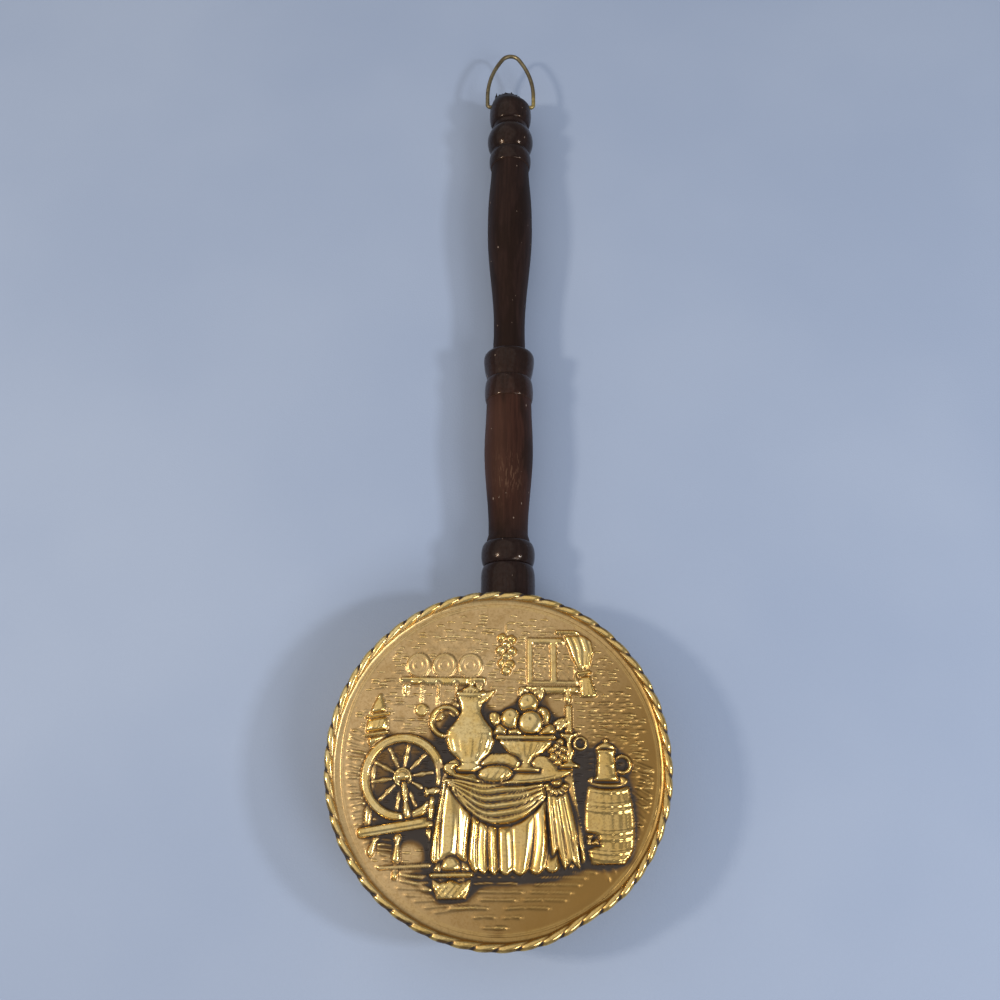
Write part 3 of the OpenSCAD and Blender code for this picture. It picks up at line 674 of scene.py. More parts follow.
def shelf(R):
    for cx in (-37.5, -25.5, -13.5):
        R.disc(cx, 43.2, 5.7, 1.1, 1.2)
        inner = R.oval(cx, 43.2, 4.6)
        R.h -= (inner > 0) * 0.55 * dome(inner / 2.2)
        R.h += 0.45 * gauss(np.hypot(R.x - cx, R.y - 43.2), 2.3, 0.5)
    R.plate([(-45.5, 34.4), (-45.5, 37.6), (-6.5, 37.6), (-6.5, 34.4)], 1.9, 0.9)
    R.stroke((-45, 36), (-7, 36), 0.7, -0.4, taper=False)
    for cx in (-42.8, -9.5):
        bracket = [(cx - 1.4, 34.6), (cx + 1.4, 34.6), (cx + 1.2, 30.5), (cx, 28.6), (cx - 1.2, 30.5)]
        R.plate(bracket, 1.4, 0.9)
    # ladle, skimmer and small pan on hooks
    for cx, ln, rr, open_ in ((-35.5, 9.0, 2.9, 0), (-28, 11.5, 2.7, 1), (-19.8, 8.4, 3.4, 0)):
        R.beam((cx, 34), (cx, 34 - ln), 1.1, 1.2, 0.6)
        R.disc(cx, 34 - ln - rr + 0.6, rr, 1.7, 1.2)
        inner = R.oval(cx, 34 - ln - rr + 0.6, rr * 0.62)
        R.h -= (inner > 0) * 0.5 * dome(inner / 1.0)
        if open_:
            dots = np.cos((R.x - cx) * 4) * np.cos((R.y - 20) * 4)
            R.h += (inner > 0) * 0.25 * dots


def onions(R):
    R.beam((3.2, 63), (3.2, 56), 0.9, 1.0, 0.5)
    for cx, cy in ((1.0, 56.2), (5.3, 55.4), (3.0, 52.8), (0.4, 50.4), (5.6, 49.8), (2.9, 47.2), (1.2, 44.2),
                   (4.6, 43.8), (3.0, 41.0)):
        d = R.oval(cx, cy, 2.35, 2.15)
        R.put(d, 0.5 + 1.7 * dome(d / 2.2) + 0.1 * np.cos((R.x - cx) * 5), halo=0.7, cut=0.6)


def window(R):
    x, y = R.x, R.y
    # frame, panes and lead lines
    R.plate([(12.5, 33.5), (12.5, 56.5), (37, 56.5), (37, 33.5)], 1.3, 1.0)
    for x0 in (14.8, 25.9):
        pane = R.polygon([(x0, 35.8), (x0, 54.2), (x0 + 9, 54.2), (x0 + 9, 35.8)])
        R.h *= 1 - smooth(pane / 0.8)
        up, down = [gauss((x - x0 + way * (y - 35.8)) % 4.6, 2.3, 0.42) for way in (1, -1)]
        R.h += 0.42 * np.maximum(up, down) * smooth(pane / 0.6)
    R.plate([(10.5, 30.6), (11.5, 33.8), (38, 33.8), (39, 30.6)], 1.9, 1.0)
    # curtain, tied back to the right
    left = np.interp(y, [30, 38, 41, 47, 58], [37.2, 37.0, 36.6, 33.5, 29.5])
    right = np.interp(y, [30, 38, 41, 50, 58], [44.5, 42.0, 41.0, 43.5, 42.0])
    d = np.minimum(np.minimum(x - left, right - x), np.minimum(y - 29, 58.5 - y))
    u = (x - left) / np.maximum(right - left, 0.5)
    folds = 0.7 * (ridge(u * 3.5 + 0.1 * np.sin(y / 3), 0.65) - 0.5)
    R.put(d, 1.6 * (0.4 + 0.6 * dome(d / 1.5)) + folds, halo=1.2)
    R.beam((36.6, 39.6), (41.4, 40.4), 1.7, 2.3, 0.8)
    R.beam((26.5, 59.2), (42, 59.2), 1.7, 1.9, 0.8)


def relief(x, y):
    R = Relief(x, y)
    wall_and_floor(R, np.random.default_rng(7))
    for form in (shelf, onions, window, spinning_wheel, barrel, tankard, cloth, jug, candle, fruit_bowl, loaf,
                 basket):
        form(R)
    return R.h * smooth(PATTERN_R - np.hypot(x, y))


# ---- cover
FIELD_RINGS = 125
LINE_R = (70.75, 71.65)
SLOPE_FOOT = 72.1
SLOPE_TOP = 74.2
STRANDS = 50
PITCH = 2 * math.pi * ROPE_MIDDLE_R / STRANDS


def field_radii():
    """Ring radii of the field, closer together at the two fine lines."""
    last = [70.1, 70.45, 70.75, 71.05, 71.35, 71.65, 71.9, SLOPE_FOOT]
    return np.concatenate([np.linspace(0, 69.6, FIELD_RINGS + 1 - len(last)), last])


def blur(h, cells):
    """Mean over a square of 2 * cells + 1, twice, by running sums."""
    for _ in range(2):
        for axis in (0, 1):
            n = h.shape[axis]
            total = np.cumsum(np.insert(h, 0, 0, axis), axis)
            hi = np.minimum(np.arange(n) + cells + 1, n)
            lo = np.maximum(np.arange(n) - cells, 0)
            width = (hi - lo).reshape((-1, 1) if axis == 0 else (1, -1))
            h = (np.take(total, hi, axis) - np.take(total, lo, axis)) / width
    return h


def wear_and_shade_maps(x, y):
    """Tarnish with painted shade, polish and flat wall, 0 to 1, at points of the relief: tarnish and painted
    shade darken the foot of each high form and the low ground between high forms, most of it about the
    middle."""
    size = 400
    line = np.linspace(-PATTERN_R, PATTERN_R, size)
    gx, gy = np.meshgrid(line, line)
    h = relief(gx.ravel(), gy.ravel()).reshape(size, size)
    near, mid, far = blur(h, 1), blur(h, 4), blur(h, 16)
    heart = smooth(1.6 - np.hypot((gx - 4) / 47, (gy + 20) / 38))
    # painted shade, partly tarnish: a dark outline round the foot of each raised form and dark low ground
    # between forms, strongest about the middle
    outline = smooth((near - h - 0.02) / 0.35) * 0.7 + smooth((mid - h - 0.12) / 0.8) * 0.8
    low = smooth((0.75 - h) / 0.4) * smooth((far - 0.28 - 0.35 * smooth(gy / 25)) / 0.42)
    tarnish_and_shade = np.clip(outline * (0.3 + 1.0 * heart) + 1.3 * low * heart ** 0.6, 0, 1)
    polish = np.clip(smooth((h - 0.5) / 1.2) * 0.85 + smooth((h - near) / 0.3) * 0.3, 0, 1)
    flat = smooth((0.42 - blur(h, 3)) / 0.25) * smooth((gy + 46) / 4)

    u, v = [np.clip((c + PATTERN_R) * (size - 1) / (2 * PATTERN_R), 0, size - 1.001) for c in (x, y)]
    i, j = u.astype(int), v.astype(int)
    fu, fv = u - i, v - j
    return [m[j, i] * (1 - fu) * (1 - fv) + m[j, i + 1] * fu * (1 - fv)
            + m[j + 1, i] * (1 - fu) * fv + m[j + 1, i + 1] * fu * fv for m in (tarnish_and_shade, polish, flat)]


def field_points():
    """Points of the pressed field on a square grid bent round, its rings being circles."""
    n = FIELD_RINGS
    i, j = np.meshgrid(np.arange(-n, n + 1), np.arange(-n, n + 1))
    k = np.maximum(abs(i), abs(j))
    safe = np.maximum(k, 1)
    angle = np.select(
        [(i == k) & (k > 0), j == k, i == -k, j == -k],
        [j / safe, 2 - i / safe, 4 - j / safe, 6 + i / safe], 0) * math.pi / 4
    r = field_radii()[k]
    return (r * np.cos(angle)).ravel(), (r * np.sin(angle)).ravel(), k.ravel(), angle.ravel()


def rim_section():
    """Rows of the rim from the slope's foot over the rope and down to the hem: radius, height, outward
    normal, how far round the rope (millimetres from its crest) and how much of the rope's lay shows."""
    rows = []
    for t in (0.12, 0.35, 0.6, 0.85):
        r, z = SLOPE_FOOT + (SLOPE_TOP - SLOPE_FOOT) * t, FIELD_Z + 0.45 * t + 0.5 * t * t
        rows.append((r, z, -0.4, 0.92, -4.2 + 1.2 * t, 0.1 * t))
    rope_r = 1.98
    rope_z = ROPE_TOP - 0.02 - rope_r
    for k in range(19):
        a = math.radians(164 - 170 * k / 18)
        c, s = math.cos(a), math.sin(a)
        rows.append((ROPE_MIDDLE_R + rope_r * c, rope_z + rope_r * s, c, s, (math.pi / 2 - a) * rope_r,
                     min(1.0, 0.25 + k / 4)))
    # the straight side below the rope, down from z = 32.8
    for r, z, show in ((77.96, 32.1, 0.9), (77.9, 31.5, 0.7), (77.84, 31.0, 0.4), (77.8, 30.5, 0.15),
                       (77.7, 30.0, 0)):
        rows.append((r, z, 1.0, 0.0, 2.1 * math.pi / 2 + 32.8 - z, show))
    for hem in ((77.45, 29.68, 0.7, -0.7), (77.0, HEM_Z + 0.02, 0, -1), (73.6, HEM_Z, 0, -1),
                (72.6, HEM_Z + 0.05, 0, -1), (72.3, 29.8, -1, 0), (72.4, 30.1, -0.7, 0.7),
                (74.0, 30.14, 0, 1), (75.95, 30.15, 0, 1), (75.95, 31.0, -1, 0)):
        rows.append((*hem, 0, 0))
    return rows


def make_cover():
    x, y, ring, angle = field_points()
    scale = 69.4 / PATTERN_R
    h = relief(x / scale, y / scale)
    tarnish_and_shade, polish, flat = wear_and_shade_maps(x / scale, y / scale)
    a = clockwise(x, y)
    r = np.hypot(x, y)
    for line, strength in zip(LINE_R, (0.2, 0.26)):
        fade = 1 - 0.8 * gauss(a, 235, 45)
        h = h + strength * fade * gauss(r, line, 0.28)
        polish = polish + 0.35 * fade * gauss(r, line, 0.4)
        # painted shade, partly tarnish, in the groove just inside each fine line
        tarnish_and_shade = tarnish_and_shade + 0.25 * gauss(r, line - 0.4, 0.25) * fade
    # painted shade, partly tarnish, along the crease at the foot of the slope
    tarnish_and_shade = np.clip(tarnish_and_shade + 0.12 * gauss(r, SLOPE_FOOT - 0.15, 0.3), 0, 1)
    sag = 0.10 * np.sin(x / 21 + 0.8) * np.cos(y / 26) + 0.07 * np.sin((x + 1.7 * y) / 15 + 2) - 0.05
    sag = sag * smooth((SLOPE_FOOT - r) / 9)
    # the foot is pushed in at the dent and raises a low swelling before it
    push = foot_push(a)
    moved = r - push * (r / SLOPE_FOOT) ** 9
    raised = 0.2 * smooth(edge_push(a) - 0.6) * gauss(r, 68.5, 2.4)
    k = moved / np.maximum(r, 0.01)
    field = np.stack([x * k, y * k, FIELD_Z + h + sag + raised], -1)

    # rim rows join on the field's outermost ring, counter-clockwise from +x
    outer = np.where(ring == FIELD_RINGS)[0]
    outer = outer[np.argsort(angle[outer])]
    theta = angle[outer]
    sides = len(outer)
    a = clockwise(np.cos(theta), np.sin(theta))
    slack = 0.12 * sway(a, 11) + 0.1 * sway(a, 23, 50)
    rim, rim_tarnish_and_shade, rim_polish = [], [], []
    for sr, sz, nr, nz, run, show in rim_section():
        lean = run * 0.6 + min(run + 0.9, 0) * 1.3
        turn = (STRANDS * a / 360 - lean / PITCH + 0.12 * slack) % 1
        wave = np.sin(np.pi * turn)
        # each strand swells towards its end; the middle's side of the lay is rubbed flat at the lower left
        swell = gauss(turn, 0.72, 0.2)
        plain = (0.7 * about(a, 222, 48) + 0.35 * about(a, 25, 35)) * smooth((0.1 - run) / 1.4)
        lay = show * (1 - plain) * (1 - 0.35 * smooth((run - 1.6) / 1.2))
        depth = lay * ((0.95 + 0.1 * slack) * (1 - wave ** 0.75) + 0.16 * (1 - swell))
        push = edge_push(a)
        if sz > FIELD_Z:
            share = np.interp(sr, [SLOPE_FOOT, SLOPE_TOP], [0, 1])
            push = foot_push(a) * (1 - share) + push * share
        elif sr < ROPE_MIDDLE_R:
            push = push * smooth((sr - 66) / 9)
        rr = sr - push - depth * nr
        rim.append(np.stack([rr * np.cos(theta), rr * np.sin(theta), np.full(sides, sz) - depth * nz], -1))
        crest = smooth((wave - 0.2) / 0.3) * show * (1 - 0.6 * plain)
        shine = 0.25 * (1 - plain) + 0.75 * crest
        rim_polish.append(np.clip(shine, 0, 1) if sz > 30.4 else np.full(sides, 0.1))
        # tarnish and painted shade in the grooves between strands
        notch = smooth((0.4 - wave) / 0.3) * show * (1 - plain) * (0.25 + 0.75 * smooth((run + 0.8) / 1.6))
        # painted shade on the rope's outer side, heaviest at the lower left and near the top, less where a
        # strand swells
        between = 0.1 + 0.5 * about(a, 222, 50) + 0.35 * about(a, 20, 40)
        painted_flank_shade = between * (1 - 0.8 * swell) * smooth((run + 0.2) / 1.2) * show
        # adds a line of painted shade in the crease where the slope meets the rope
        rim_tarnish_and_shade.append(np.clip(notch + painted_flank_shade + 0.2 * gauss(sr, SLOPE_TOP, 0.3) * (sz > 32.4), 0, 1))
    points = np.concatenate([field, *rim, [[0, 0, 31.0]]])
    flat = flat * smooth((69.5 - r) / 1.5)
    layers = {
        "tarnish_and_shade": np.concatenate([tarnish_and_shade, *rim_tarnish_and_shade, [0]]).clip(0, 1),
        "polish": np.concatenate([polish, *rim_polish, [0]]).clip(0, 1),
        "flat": np.concatenate([flat, np.zeros(len(points) - len(flat))]).clip(0, 1)}
    m = 2 * FIELD_RINGS + 1
    cell = (np.arange(m - 1)[:, None] * m + np.arange(m - 1)[None, :]).ravel()
    grid = np.stack([cell, cell + 1, cell + m + 1, cell + m], -1)
    first = len(field)
    nxt = first + np.arange(sides)
    join = np.stack([outer, nxt, np.roll(nxt, -1), np.roll(outer, -1)], -1)
    # seen from above the rim's rows run outwards, so their faces turn the other way round
    quads = np.concatenate([grid, join, tube_quads(len(rim), sides, first)[:, ::-1]])
    under = fan(len(points) - 1, len(points) - 1 - sides + np.arange(sides), flip=True)
    return new_mesh("embossed_cover", points, quads, under, layers)


# ---- pan
def make_pan():
    """Spun pan: outside from the base up to the flange, over its edge and down the inside."""
    foot, lip, lip_z = WALL_R - WALL_CORNER_R, 1.2, 29.0

    def bend(middle_r, middle_z, radius, start, stop, steps):
        """Rows along a quarter round, angles in degrees up from straight outwards."""
        turn = np.radians(np.linspace(start, stop, steps))
        return [(middle_r + radius * math.cos(a), middle_z + radius * math.sin(a)) for a in turn]

    rows = []
    for r in np.concatenate([np.arange(1.5, 59, 1.5), [59.6]]):
        rows.append((r, 0.22 * gauss(r, 43.5, 0.7) + 0.16 * gauss(r, 12, 0.8)))
    rows += bend(foot, WALL_CORNER_R, WALL_CORNER_R, -90, 0, 15)
    rows += [(WALL_R + 0.05 * math.sin(z * 1.7), z) for z in (13, 15, 17, 19, 21, 23, 25, 27, 28.4)]
    rows += bend(WALL_R + lip, lip_z, lip, 180, 90, 7)
    rows += [(r, 30.2) for r in (72.5, 74.5, 75.6)] + [(75.9, 30.35), (75.9, 30.85)]
    rows += [(r, 31.0) for r in (75.6, 74.0, 72.0)]
    rows += bend(WALL_R + lip, lip_z, lip + SHEET, 90, 180, 7)
    rows += [(WALL_R - SHEET, z) for z in (25, 20, 15, 12)]
    rows += bend(foot, WALL_CORNER_R, WALL_CORNER_R - SHEET, 0, -90, 15)
    rows += [(r, SHEET) for r in (52, 40, 30, 20, 10, 4)]
    a = np.linspace(0, 2 * np.pi, 240, endpoint=False)
    rings = [dented(np.stack([r * np.cos(a), r * np.sin(a), np.full(len(a), z)], -1)) for r, z in rows]
    pan = tube("spun_pan", rings, [[0, 0, 0], [0, 0, SHEET]])
    cut_out(pan, rod("screw_hole", (HANDLE_X, 60, HANDLE_Z), (HANDLE_X, 74, HANDLE_Z), 2.35))
    return pan


# ---- handle
def rise(y0, r0, y1, r1, n=14):
    a = np.linspace(0, np.pi / 2, n)
    return np.stack([r0 + (r1 - r0) * np.sin(a), y0 + (y1 - y0) * (1 - np.cos(a))], -1)


def fall(y0, r0, y1, r1, n=14):
    a = np.linspace(0, np.pi / 2, n)
    return np.stack([r1 + (r0 - r1) * np.cos(a), y0 + (y1 - y0) * np.sin(a)], -1)


def ease(y0, r0, y1, r1, late=1.0, n=24):
    t = np.linspace(0, 1, n)
    return np.stack([r0 + (r1 - r0) * (1 - np.cos(np.pi * t ** late)) / 2, y0 + (y1 - y0) * t], -1)


def bead(y0, y1, ra, rm, rb, peak=0.5):
    ym = y0 + (y1 - y0) * peak
    return np.concatenate([rise(y0, ra, ym, rm), fall(ym, rm, y1, rb)])


def flare(y0, r0, y1, r1, n=14):
    t = np.linspace(0, 1, n)
    return np.stack([r0 + (r1 - r0) * np.sin(t * np.pi / 2), y0 + (y1 - y0) * t], -1)


def ball(y, r, r0, r1, n=28):
    a = np.linspace(-math.acos(r0 / r), math.acos(r1 / r), n)
    return np.stack([r * np.cos(a), y + r * np.sin(a)], -1)


def handle_outline():
    """Radius, distance along y, and gloss of the handle's outline from the cup to the broken end."""
    parts = [
        (fall(CUP_END_Y, BEAD_R, 94.7, 11.5, 20), 1),
        (bead(94.7, 106.5, 11.5, BEAD_R, 11.0), 1),
        (ease(106.5, 10.8, 112, 9.8, n=12), 0.25), (ease(112, 9.8, 157, 12.45), 0.15),
        (ease(157, 12.45, 183.8, 11.7), 0.25),
        (bead(183.8, 196.2, 11.7, 12.65, 11.3, 0.44), 1),
        (flare(196.2, 11.3, 208.3, 13.3), 1), (fall(208.3, 13.3, 211.3, 11.75), 1),
        (ease(211.3, 8.6, 226, 8.3, n=12), 0.2), (ease(226, 8.3, 290, 12.35, n=30), 0.1),
        (ease(290, 12.35, 331.6, 10.6, 1.5), 0.1),
        (bead(331.6, 341, 10.6, 11.85, 10.5, 0.52), 0.8),
        (ball(349.95, 13.05, 10.5, 9.9), 0.9), (np.array([(9.9, 359.7), (9.9, 360.95)]), 0.6),
        (rise(360.95, 9.9, 368.95, 12.1), 0.8),
        (np.array([(12.1 - 3.1 * t * t, 368.95 + 11.5 * t) for t in np.linspace(0, 1, 12)]), 0.5),
    ]
    rows = [(r, y, gloss) for part, gloss in parts for r, y in part]
    clean = [rows[0]]
    for row in rows[1:]:
        if math.hypot(row[0] - clean[-1][0], row[1] - clean[-1][1]) > 0.03:
            clean.append(row)
    return clean


def rounded(rows, radius=0.22, limit=22):
    """Rounds the outline's corners a little and marks them as worn. Rows: radius, y, gloss, wear."""
    out = [(*rows[0], 0.0)]
    for a, b, c in zip(rows, rows[1:], rows[2:]):
        ab, bc = math.dist(a[:2], b[:2]), math.dist(b[:2], c[:2])
        turn = math.degrees(math.atan2(b[0] - a[0], b[1] - a[1]) - math.atan2(c[0] - b[0], c[1] - b[1]))
        if abs(turn) < limit:
            out.append((*b, 0.0))
            continue
        wear = 1.0 if turn > 0 else -1.0
        for other, length, side in ((a, ab, 0), (c, bc, 1)):
            k = min(radius / length, 0.45)
            near = tuple(b[i] + (other[i] - b[i]) * k for i in range(2))
            if side:
                out.append((*(b[i] * 0.4 + (out[-1][i] + near[i]) * 0.3 for i in range(2)), b[2], wear))
            out.append((*near, b[2] if side == 0 else c[2], wear * 0.6))
    out.append((*rows[-1], 0.0))
    return out


def filled(rows, longest=1.6):
    """Adds rows so that none are further apart than the longest step."""
    out = [rows[0]]
    for a, b in zip(rows, rows[1:]):
        n = max(1, math.ceil(math.dist(a[:2], b[:2]) / longest))
        out += [tuple(a[i] + (b[i] - a[i]) * k / n for i in range(4)) for k in range(1, n + 1)]
    return out


def make_handle():
    sides = 144
    phi = np.linspace(0, 2 * np.pi, sides, endpoint=False)
    rng = np.random.default_rng(11)

    rings, gloss, wear = [], [], []

    def add(radius, y, shine, worn):
        x, z = HANDLE_X + radius * np.sin(phi), HANDLE_Z + radius * np.cos(phi)
        rings.append(np.stack([x, np.broadcast_to(y, phi.shape), z], -1))
        gloss.append(np.broadcast_to(shine, phi.shape))
        wear.append(np.broadcast_to(worn, phi.shape))

    def seat(radius):
        """Where the hollowed end meets the pan's wall, 0.1 clear of it."""
        x, z = HANDLE_X + radius * np.sin(phi), HANDLE_Z + radius * np.cos(phi)
        below = WALL_CORNER_R - np.minimum(z, WALL_CORNER_R)
        wall = WALL_R - WALL_CORNER_R + np.sqrt(np.maximum((WALL_CORNER_R + 0.1) ** 2 - below ** 2, 0))
        return np.sqrt(wall ** 2 - x ** 2)

    add(BORE_R, BORE_END_Y, 0, 0)
    for radius in (BORE_R, 5, 8, 10.5, 12.4, 13.1):
        add(radius, seat(radius), 0, 0)
    start = seat(13.0)
    # the cup narrows a little towards the pan, from y = 84.5
    for t in (0.01, 0.1, 0.2, 0.3, 0.4, 0.5, 0.6, 0.7, 0.8, 0.9, 0.98):
        y = start + (CUP_END_Y - start) * t
        add(BEAD_R - 0.0008 * np.maximum(84.5 - y, 0) ** 2, y, 1, 0)
    # the end is broken off unevenly: longest on the left, shortest on top
    broken = BROKEN_END_Y - 1.7 * np.cos(phi) - 1.6 * np.sin(phi)
    splinters = np.maximum(rng.normal(0, 1, sides) - 0.9, 0) * 1.9
    # rows lean towards the broken end from y = 372, are rough from 378.6 and splintered from 379.4
    for radius, y, shine, worn in filled(rounded(handle_outline())):
        rough = smooth((y - 378.6) / 1.8)
        y = y + smooth((y - 372) / 8.4) * (broken - 380.45) + splinters * smooth(y - 379.4)
        uneven = 0.03 * np.sin(3 * phi + y / 17) + 0.02 * np.sin(5 * phi - y / 9 + 1)
        torn = 0.5 * abs(np.sin(9 * phi + 1)) * np.sin(4 * phi + 2)
        chips = rough * (torn + rng.normal(0, 0.16, sides))
        add(radius + uneven * (1 - rough) - abs(chips) * 0.7, y + chips * 1.1, shine * (1 - rough),
            worn * (1 - rough) - rough)
    middle = BROKEN_END_Y - 0.1
    for radius in (8.0, 6.9, 5.7, 4.5, 3.4, 2.2, 1.1):
        uneven = 0.35 * np.sin(phi * 2 + radius) + rng.normal(0, 0.3, sides)
        add(radius, middle + (broken - BROKEN_END_Y) * radius / 9 + uneven, 0, -1)
    layers = {"gloss": np.append(gloss, [0, 0]), "wear": np.append(wear, [0, -1])}
    ends = [[HANDLE_X, BORE_END_Y, HANDLE_Z], [HANDLE_X, middle, HANDLE_Z]]
    handle = tube("turned_handle", rings, ends, layers)
    for side in (-1, 1):
        inner, outer = [(HANDLE_X + side * x, PIVOT_Y, HANDLE_Z) for x in (4.5, 16)]
        cut_out(handle, rod("pivot_hole", inner, outer, PIVOT_HOLE_R))
    return handle


# ---- ring
def ring_path():
    """Middle line of the wire from one end to the other, measured from the pivot."""
    def arc(cx, cy, r, a0, a1, n):
        a = np.radians(np.linspace(a0, a1, n))
        return np.stack([cx + r * np.cos(a), cy + r * np.sin(a)], -1)

    leg_x, bend, leg_end, tip_r, tip_s = 13.5, 2.0, 8.0, 5.85, 32.17
    side_r = (leg_x ** 2 - tip_r ** 2 + (tip_s - leg_end) ** 2) / (2 * (leg_x - tip_r))
    turn = math.degrees(math.atan2(tip_s - leg_end, side_r - leg_x))
    side = np.concatenate([
        np.stack([np.linspace(WIRE_END_X, leg_x - bend - 0.2, 8), np.zeros(8)], -1),
        arc(leg_x - bend, bend, bend, -90, 0, 14),
        np.stack([np.full(7, leg_x), np.linspace(bend + 0.6, leg_end - 0.4, 7)], -1),
        arc(leg_x - side_r, leg_end, side_r, 0, turn, 44)])
    tip = arc(0, tip_s, tip_r, turn, 180 - turn, 26)[1:-1]
    return np.concatenate([side, tip, (side * (-1, 1))[::-1]])


def make_ring():
    path = ring_path()
    run = np.concatenate([[0], np.cumsum(np.hypot(*np.diff(path, axis=0).T))])
    along = np.gradient(path, axis=0)
    along /= np.linalg.norm(along, axis=1)[:, None]
    radii = WIRE_R + 0.012 * np.sin(run * 1.9) + 0.01 * np.sin(run * 0.7 + 2)
    radii[[0, -1]] = 0.85
    a = np.linspace(0, 2 * np.pi, 24, endpoint=False)[:, None]
    rings = []
    for (x, y), (dx, dy), radius in zip(path, along, radii):
        middle = np.array([HANDLE_X + x, PIVOT_Y + y, HANDLE_Z])
        rings.append(middle + radius * (np.cos(a) * [dy, -dx, 0] + np.sin(a) * [0, 0, 1.0]))
    ends = [[HANDLE_X + side * WIRE_END_X, PIVOT_Y, HANDLE_Z] for side in (1, -1)]
    return tube("wire_ring", rings, ends, flip=True)


# ---- the object's materials
def embossed_brass():
    """Pressed brass: a tan field with gold on what is raised, tarnish and painted shade where the relief is
    deep, and painted shade towards the lower right.
    """
    p = Paint("embossed_brass")
    tarnish_and_shade, polish, flat = p.attribute("tarnish_and_shade"), p.attribute("polish"), p.attribute("flat")
    cloud = p.noise(38, 4, 0.6)
    fine = p.noise(900, 2, 0.6)
    peel = p.noise(620, 3, 0.5)
    stain = p.noise(130, 5, 0.65)
    # short chased dashes over the wall, some cells left empty
    away = p.add("TexVoronoi", props={"voronoi_dimensions": "2D"}, Vector=p.place((0.3, 1, 1)), Scale=600.0)
    chance = away.node.outputs[1]
    dash = p.times(p.times(p.ramp(away, 0.44, 0.16), p.ramp(chance, 0.50, 0.54)), flat)
    tan = p.mix(p.ramp(cloud, 0.35, 0.7), (0.585, 0.40, 0.187), (0.69, 0.49, 0.25))
    tan = p.mix(p.ramp(stain, 0.52, 0.72), tan, (0.42, 0.25, 0.08), 0.35)
    # painted shade: darker and browner towards the lower right, on the tan field and on the raised gold
    x, y, _ = p.split()
    side = p.plus(p.times(x, 0.85), p.times(y, -0.5))
    side = p.plus(side, p.swing(cloud, 0.05))
    shade_lower_right = p.ramp(side, -0.025, 0.06)
    tan = p.mix(shade_lower_right, tan, (0.32, 0.185, 0.055))
    gold = p.mix(p.ramp(stain, 0.35, 0.65), (0.88, 0.61, 0.20), (0.95, 0.74, 0.34))
    gold = p.mix(shade_lower_right, gold, (0.74, 0.49, 0.16), 0.7)
    metal = p.mix(p.most(polish, p.times(dash, 0.6)), tan, gold)
    metal = p.mix(p.ramp(fine, 0.45, 0.68), metal, (0.30, 0.17, 0.05), 0.35)
    # brown at the edge of the tarnish and painted shade, nearly black in its middle
    edge = p.plus(tarnish_and_shade, p.swing(stain, 0.6))
    dark_tarnish_and_shade = p.ramp(edge, 0.3, 0.85)
    colour = p.mix(p.ramp(edge, 0.08, 0.5), metal, (0.23, 0.13, 0.045))
    colour = p.mix(dark_tarnish_and_shade, colour, (0.030, 0.022, 0.018))
    rough = p.plus(p.times(polish, -0.21), 0.39)
    rough = p.plus(rough, p.swing(fine, 0.16))
    rough = p.plus(rough, p.times(dark_tarnish_and_shade, 0.2), clamp=True)
    grain = p.times(peel, p.rest(p.times(polish, 0.7)))
    normal = p.bump(grain, 0.00006, 0.9)
    normal = p.bump(dash, 0.00035, 0.9, normal)
    normal = p.bump(cloud, 0.0004, 0.25, normal)
    return p.finish(Base_Color=colour, Roughness=rough, Normal=normal,
                    Metallic=p.rest(p.times(dark_tarnish_and_shade, 0.75)))


def spun_brass():
    """Brass dulled by handling, with the fine rings left by spinning."""
    p = Paint("pan_brass")
    x, y, z = p.split()
    radius = p.math("SQRT", p.plus(p.times(x, x), p.times(y, y)))
    line = p.add("CombineXYZ", X=radius, Y=z)
    marks = p.noise(1400, 3, 0.7, vector=line)
    broad = p.noise(240, 2, 0.5, vector=line)
    cloud = p.noise(32, 5, 0.62)
    spots = p.noise(420, 3, 0.6)
    colour = p.mix(p.ramp(cloud, 0.35, 0.68), (0.66, 0.48, 0.22), (0.50, 0.345, 0.155))
    colour = p.mix(p.ramp(spots, 0.62, 0.74), colour, (0.20, 0.13, 0.065), 0.55)
    rough = p.ramp(cloud, 0.3, 0.7, 0.3, 0.46)
    rough = p.plus(rough, p.swing(marks, 0.15))
    normal = p.bump(marks, 0.00003, 0.7)
    normal = p.bump(broad, 0.00012, 0.6, normal)
    return p.finish(Base_Color=colour, Metallic=1.0, Roughness=rough, Normal=normal)


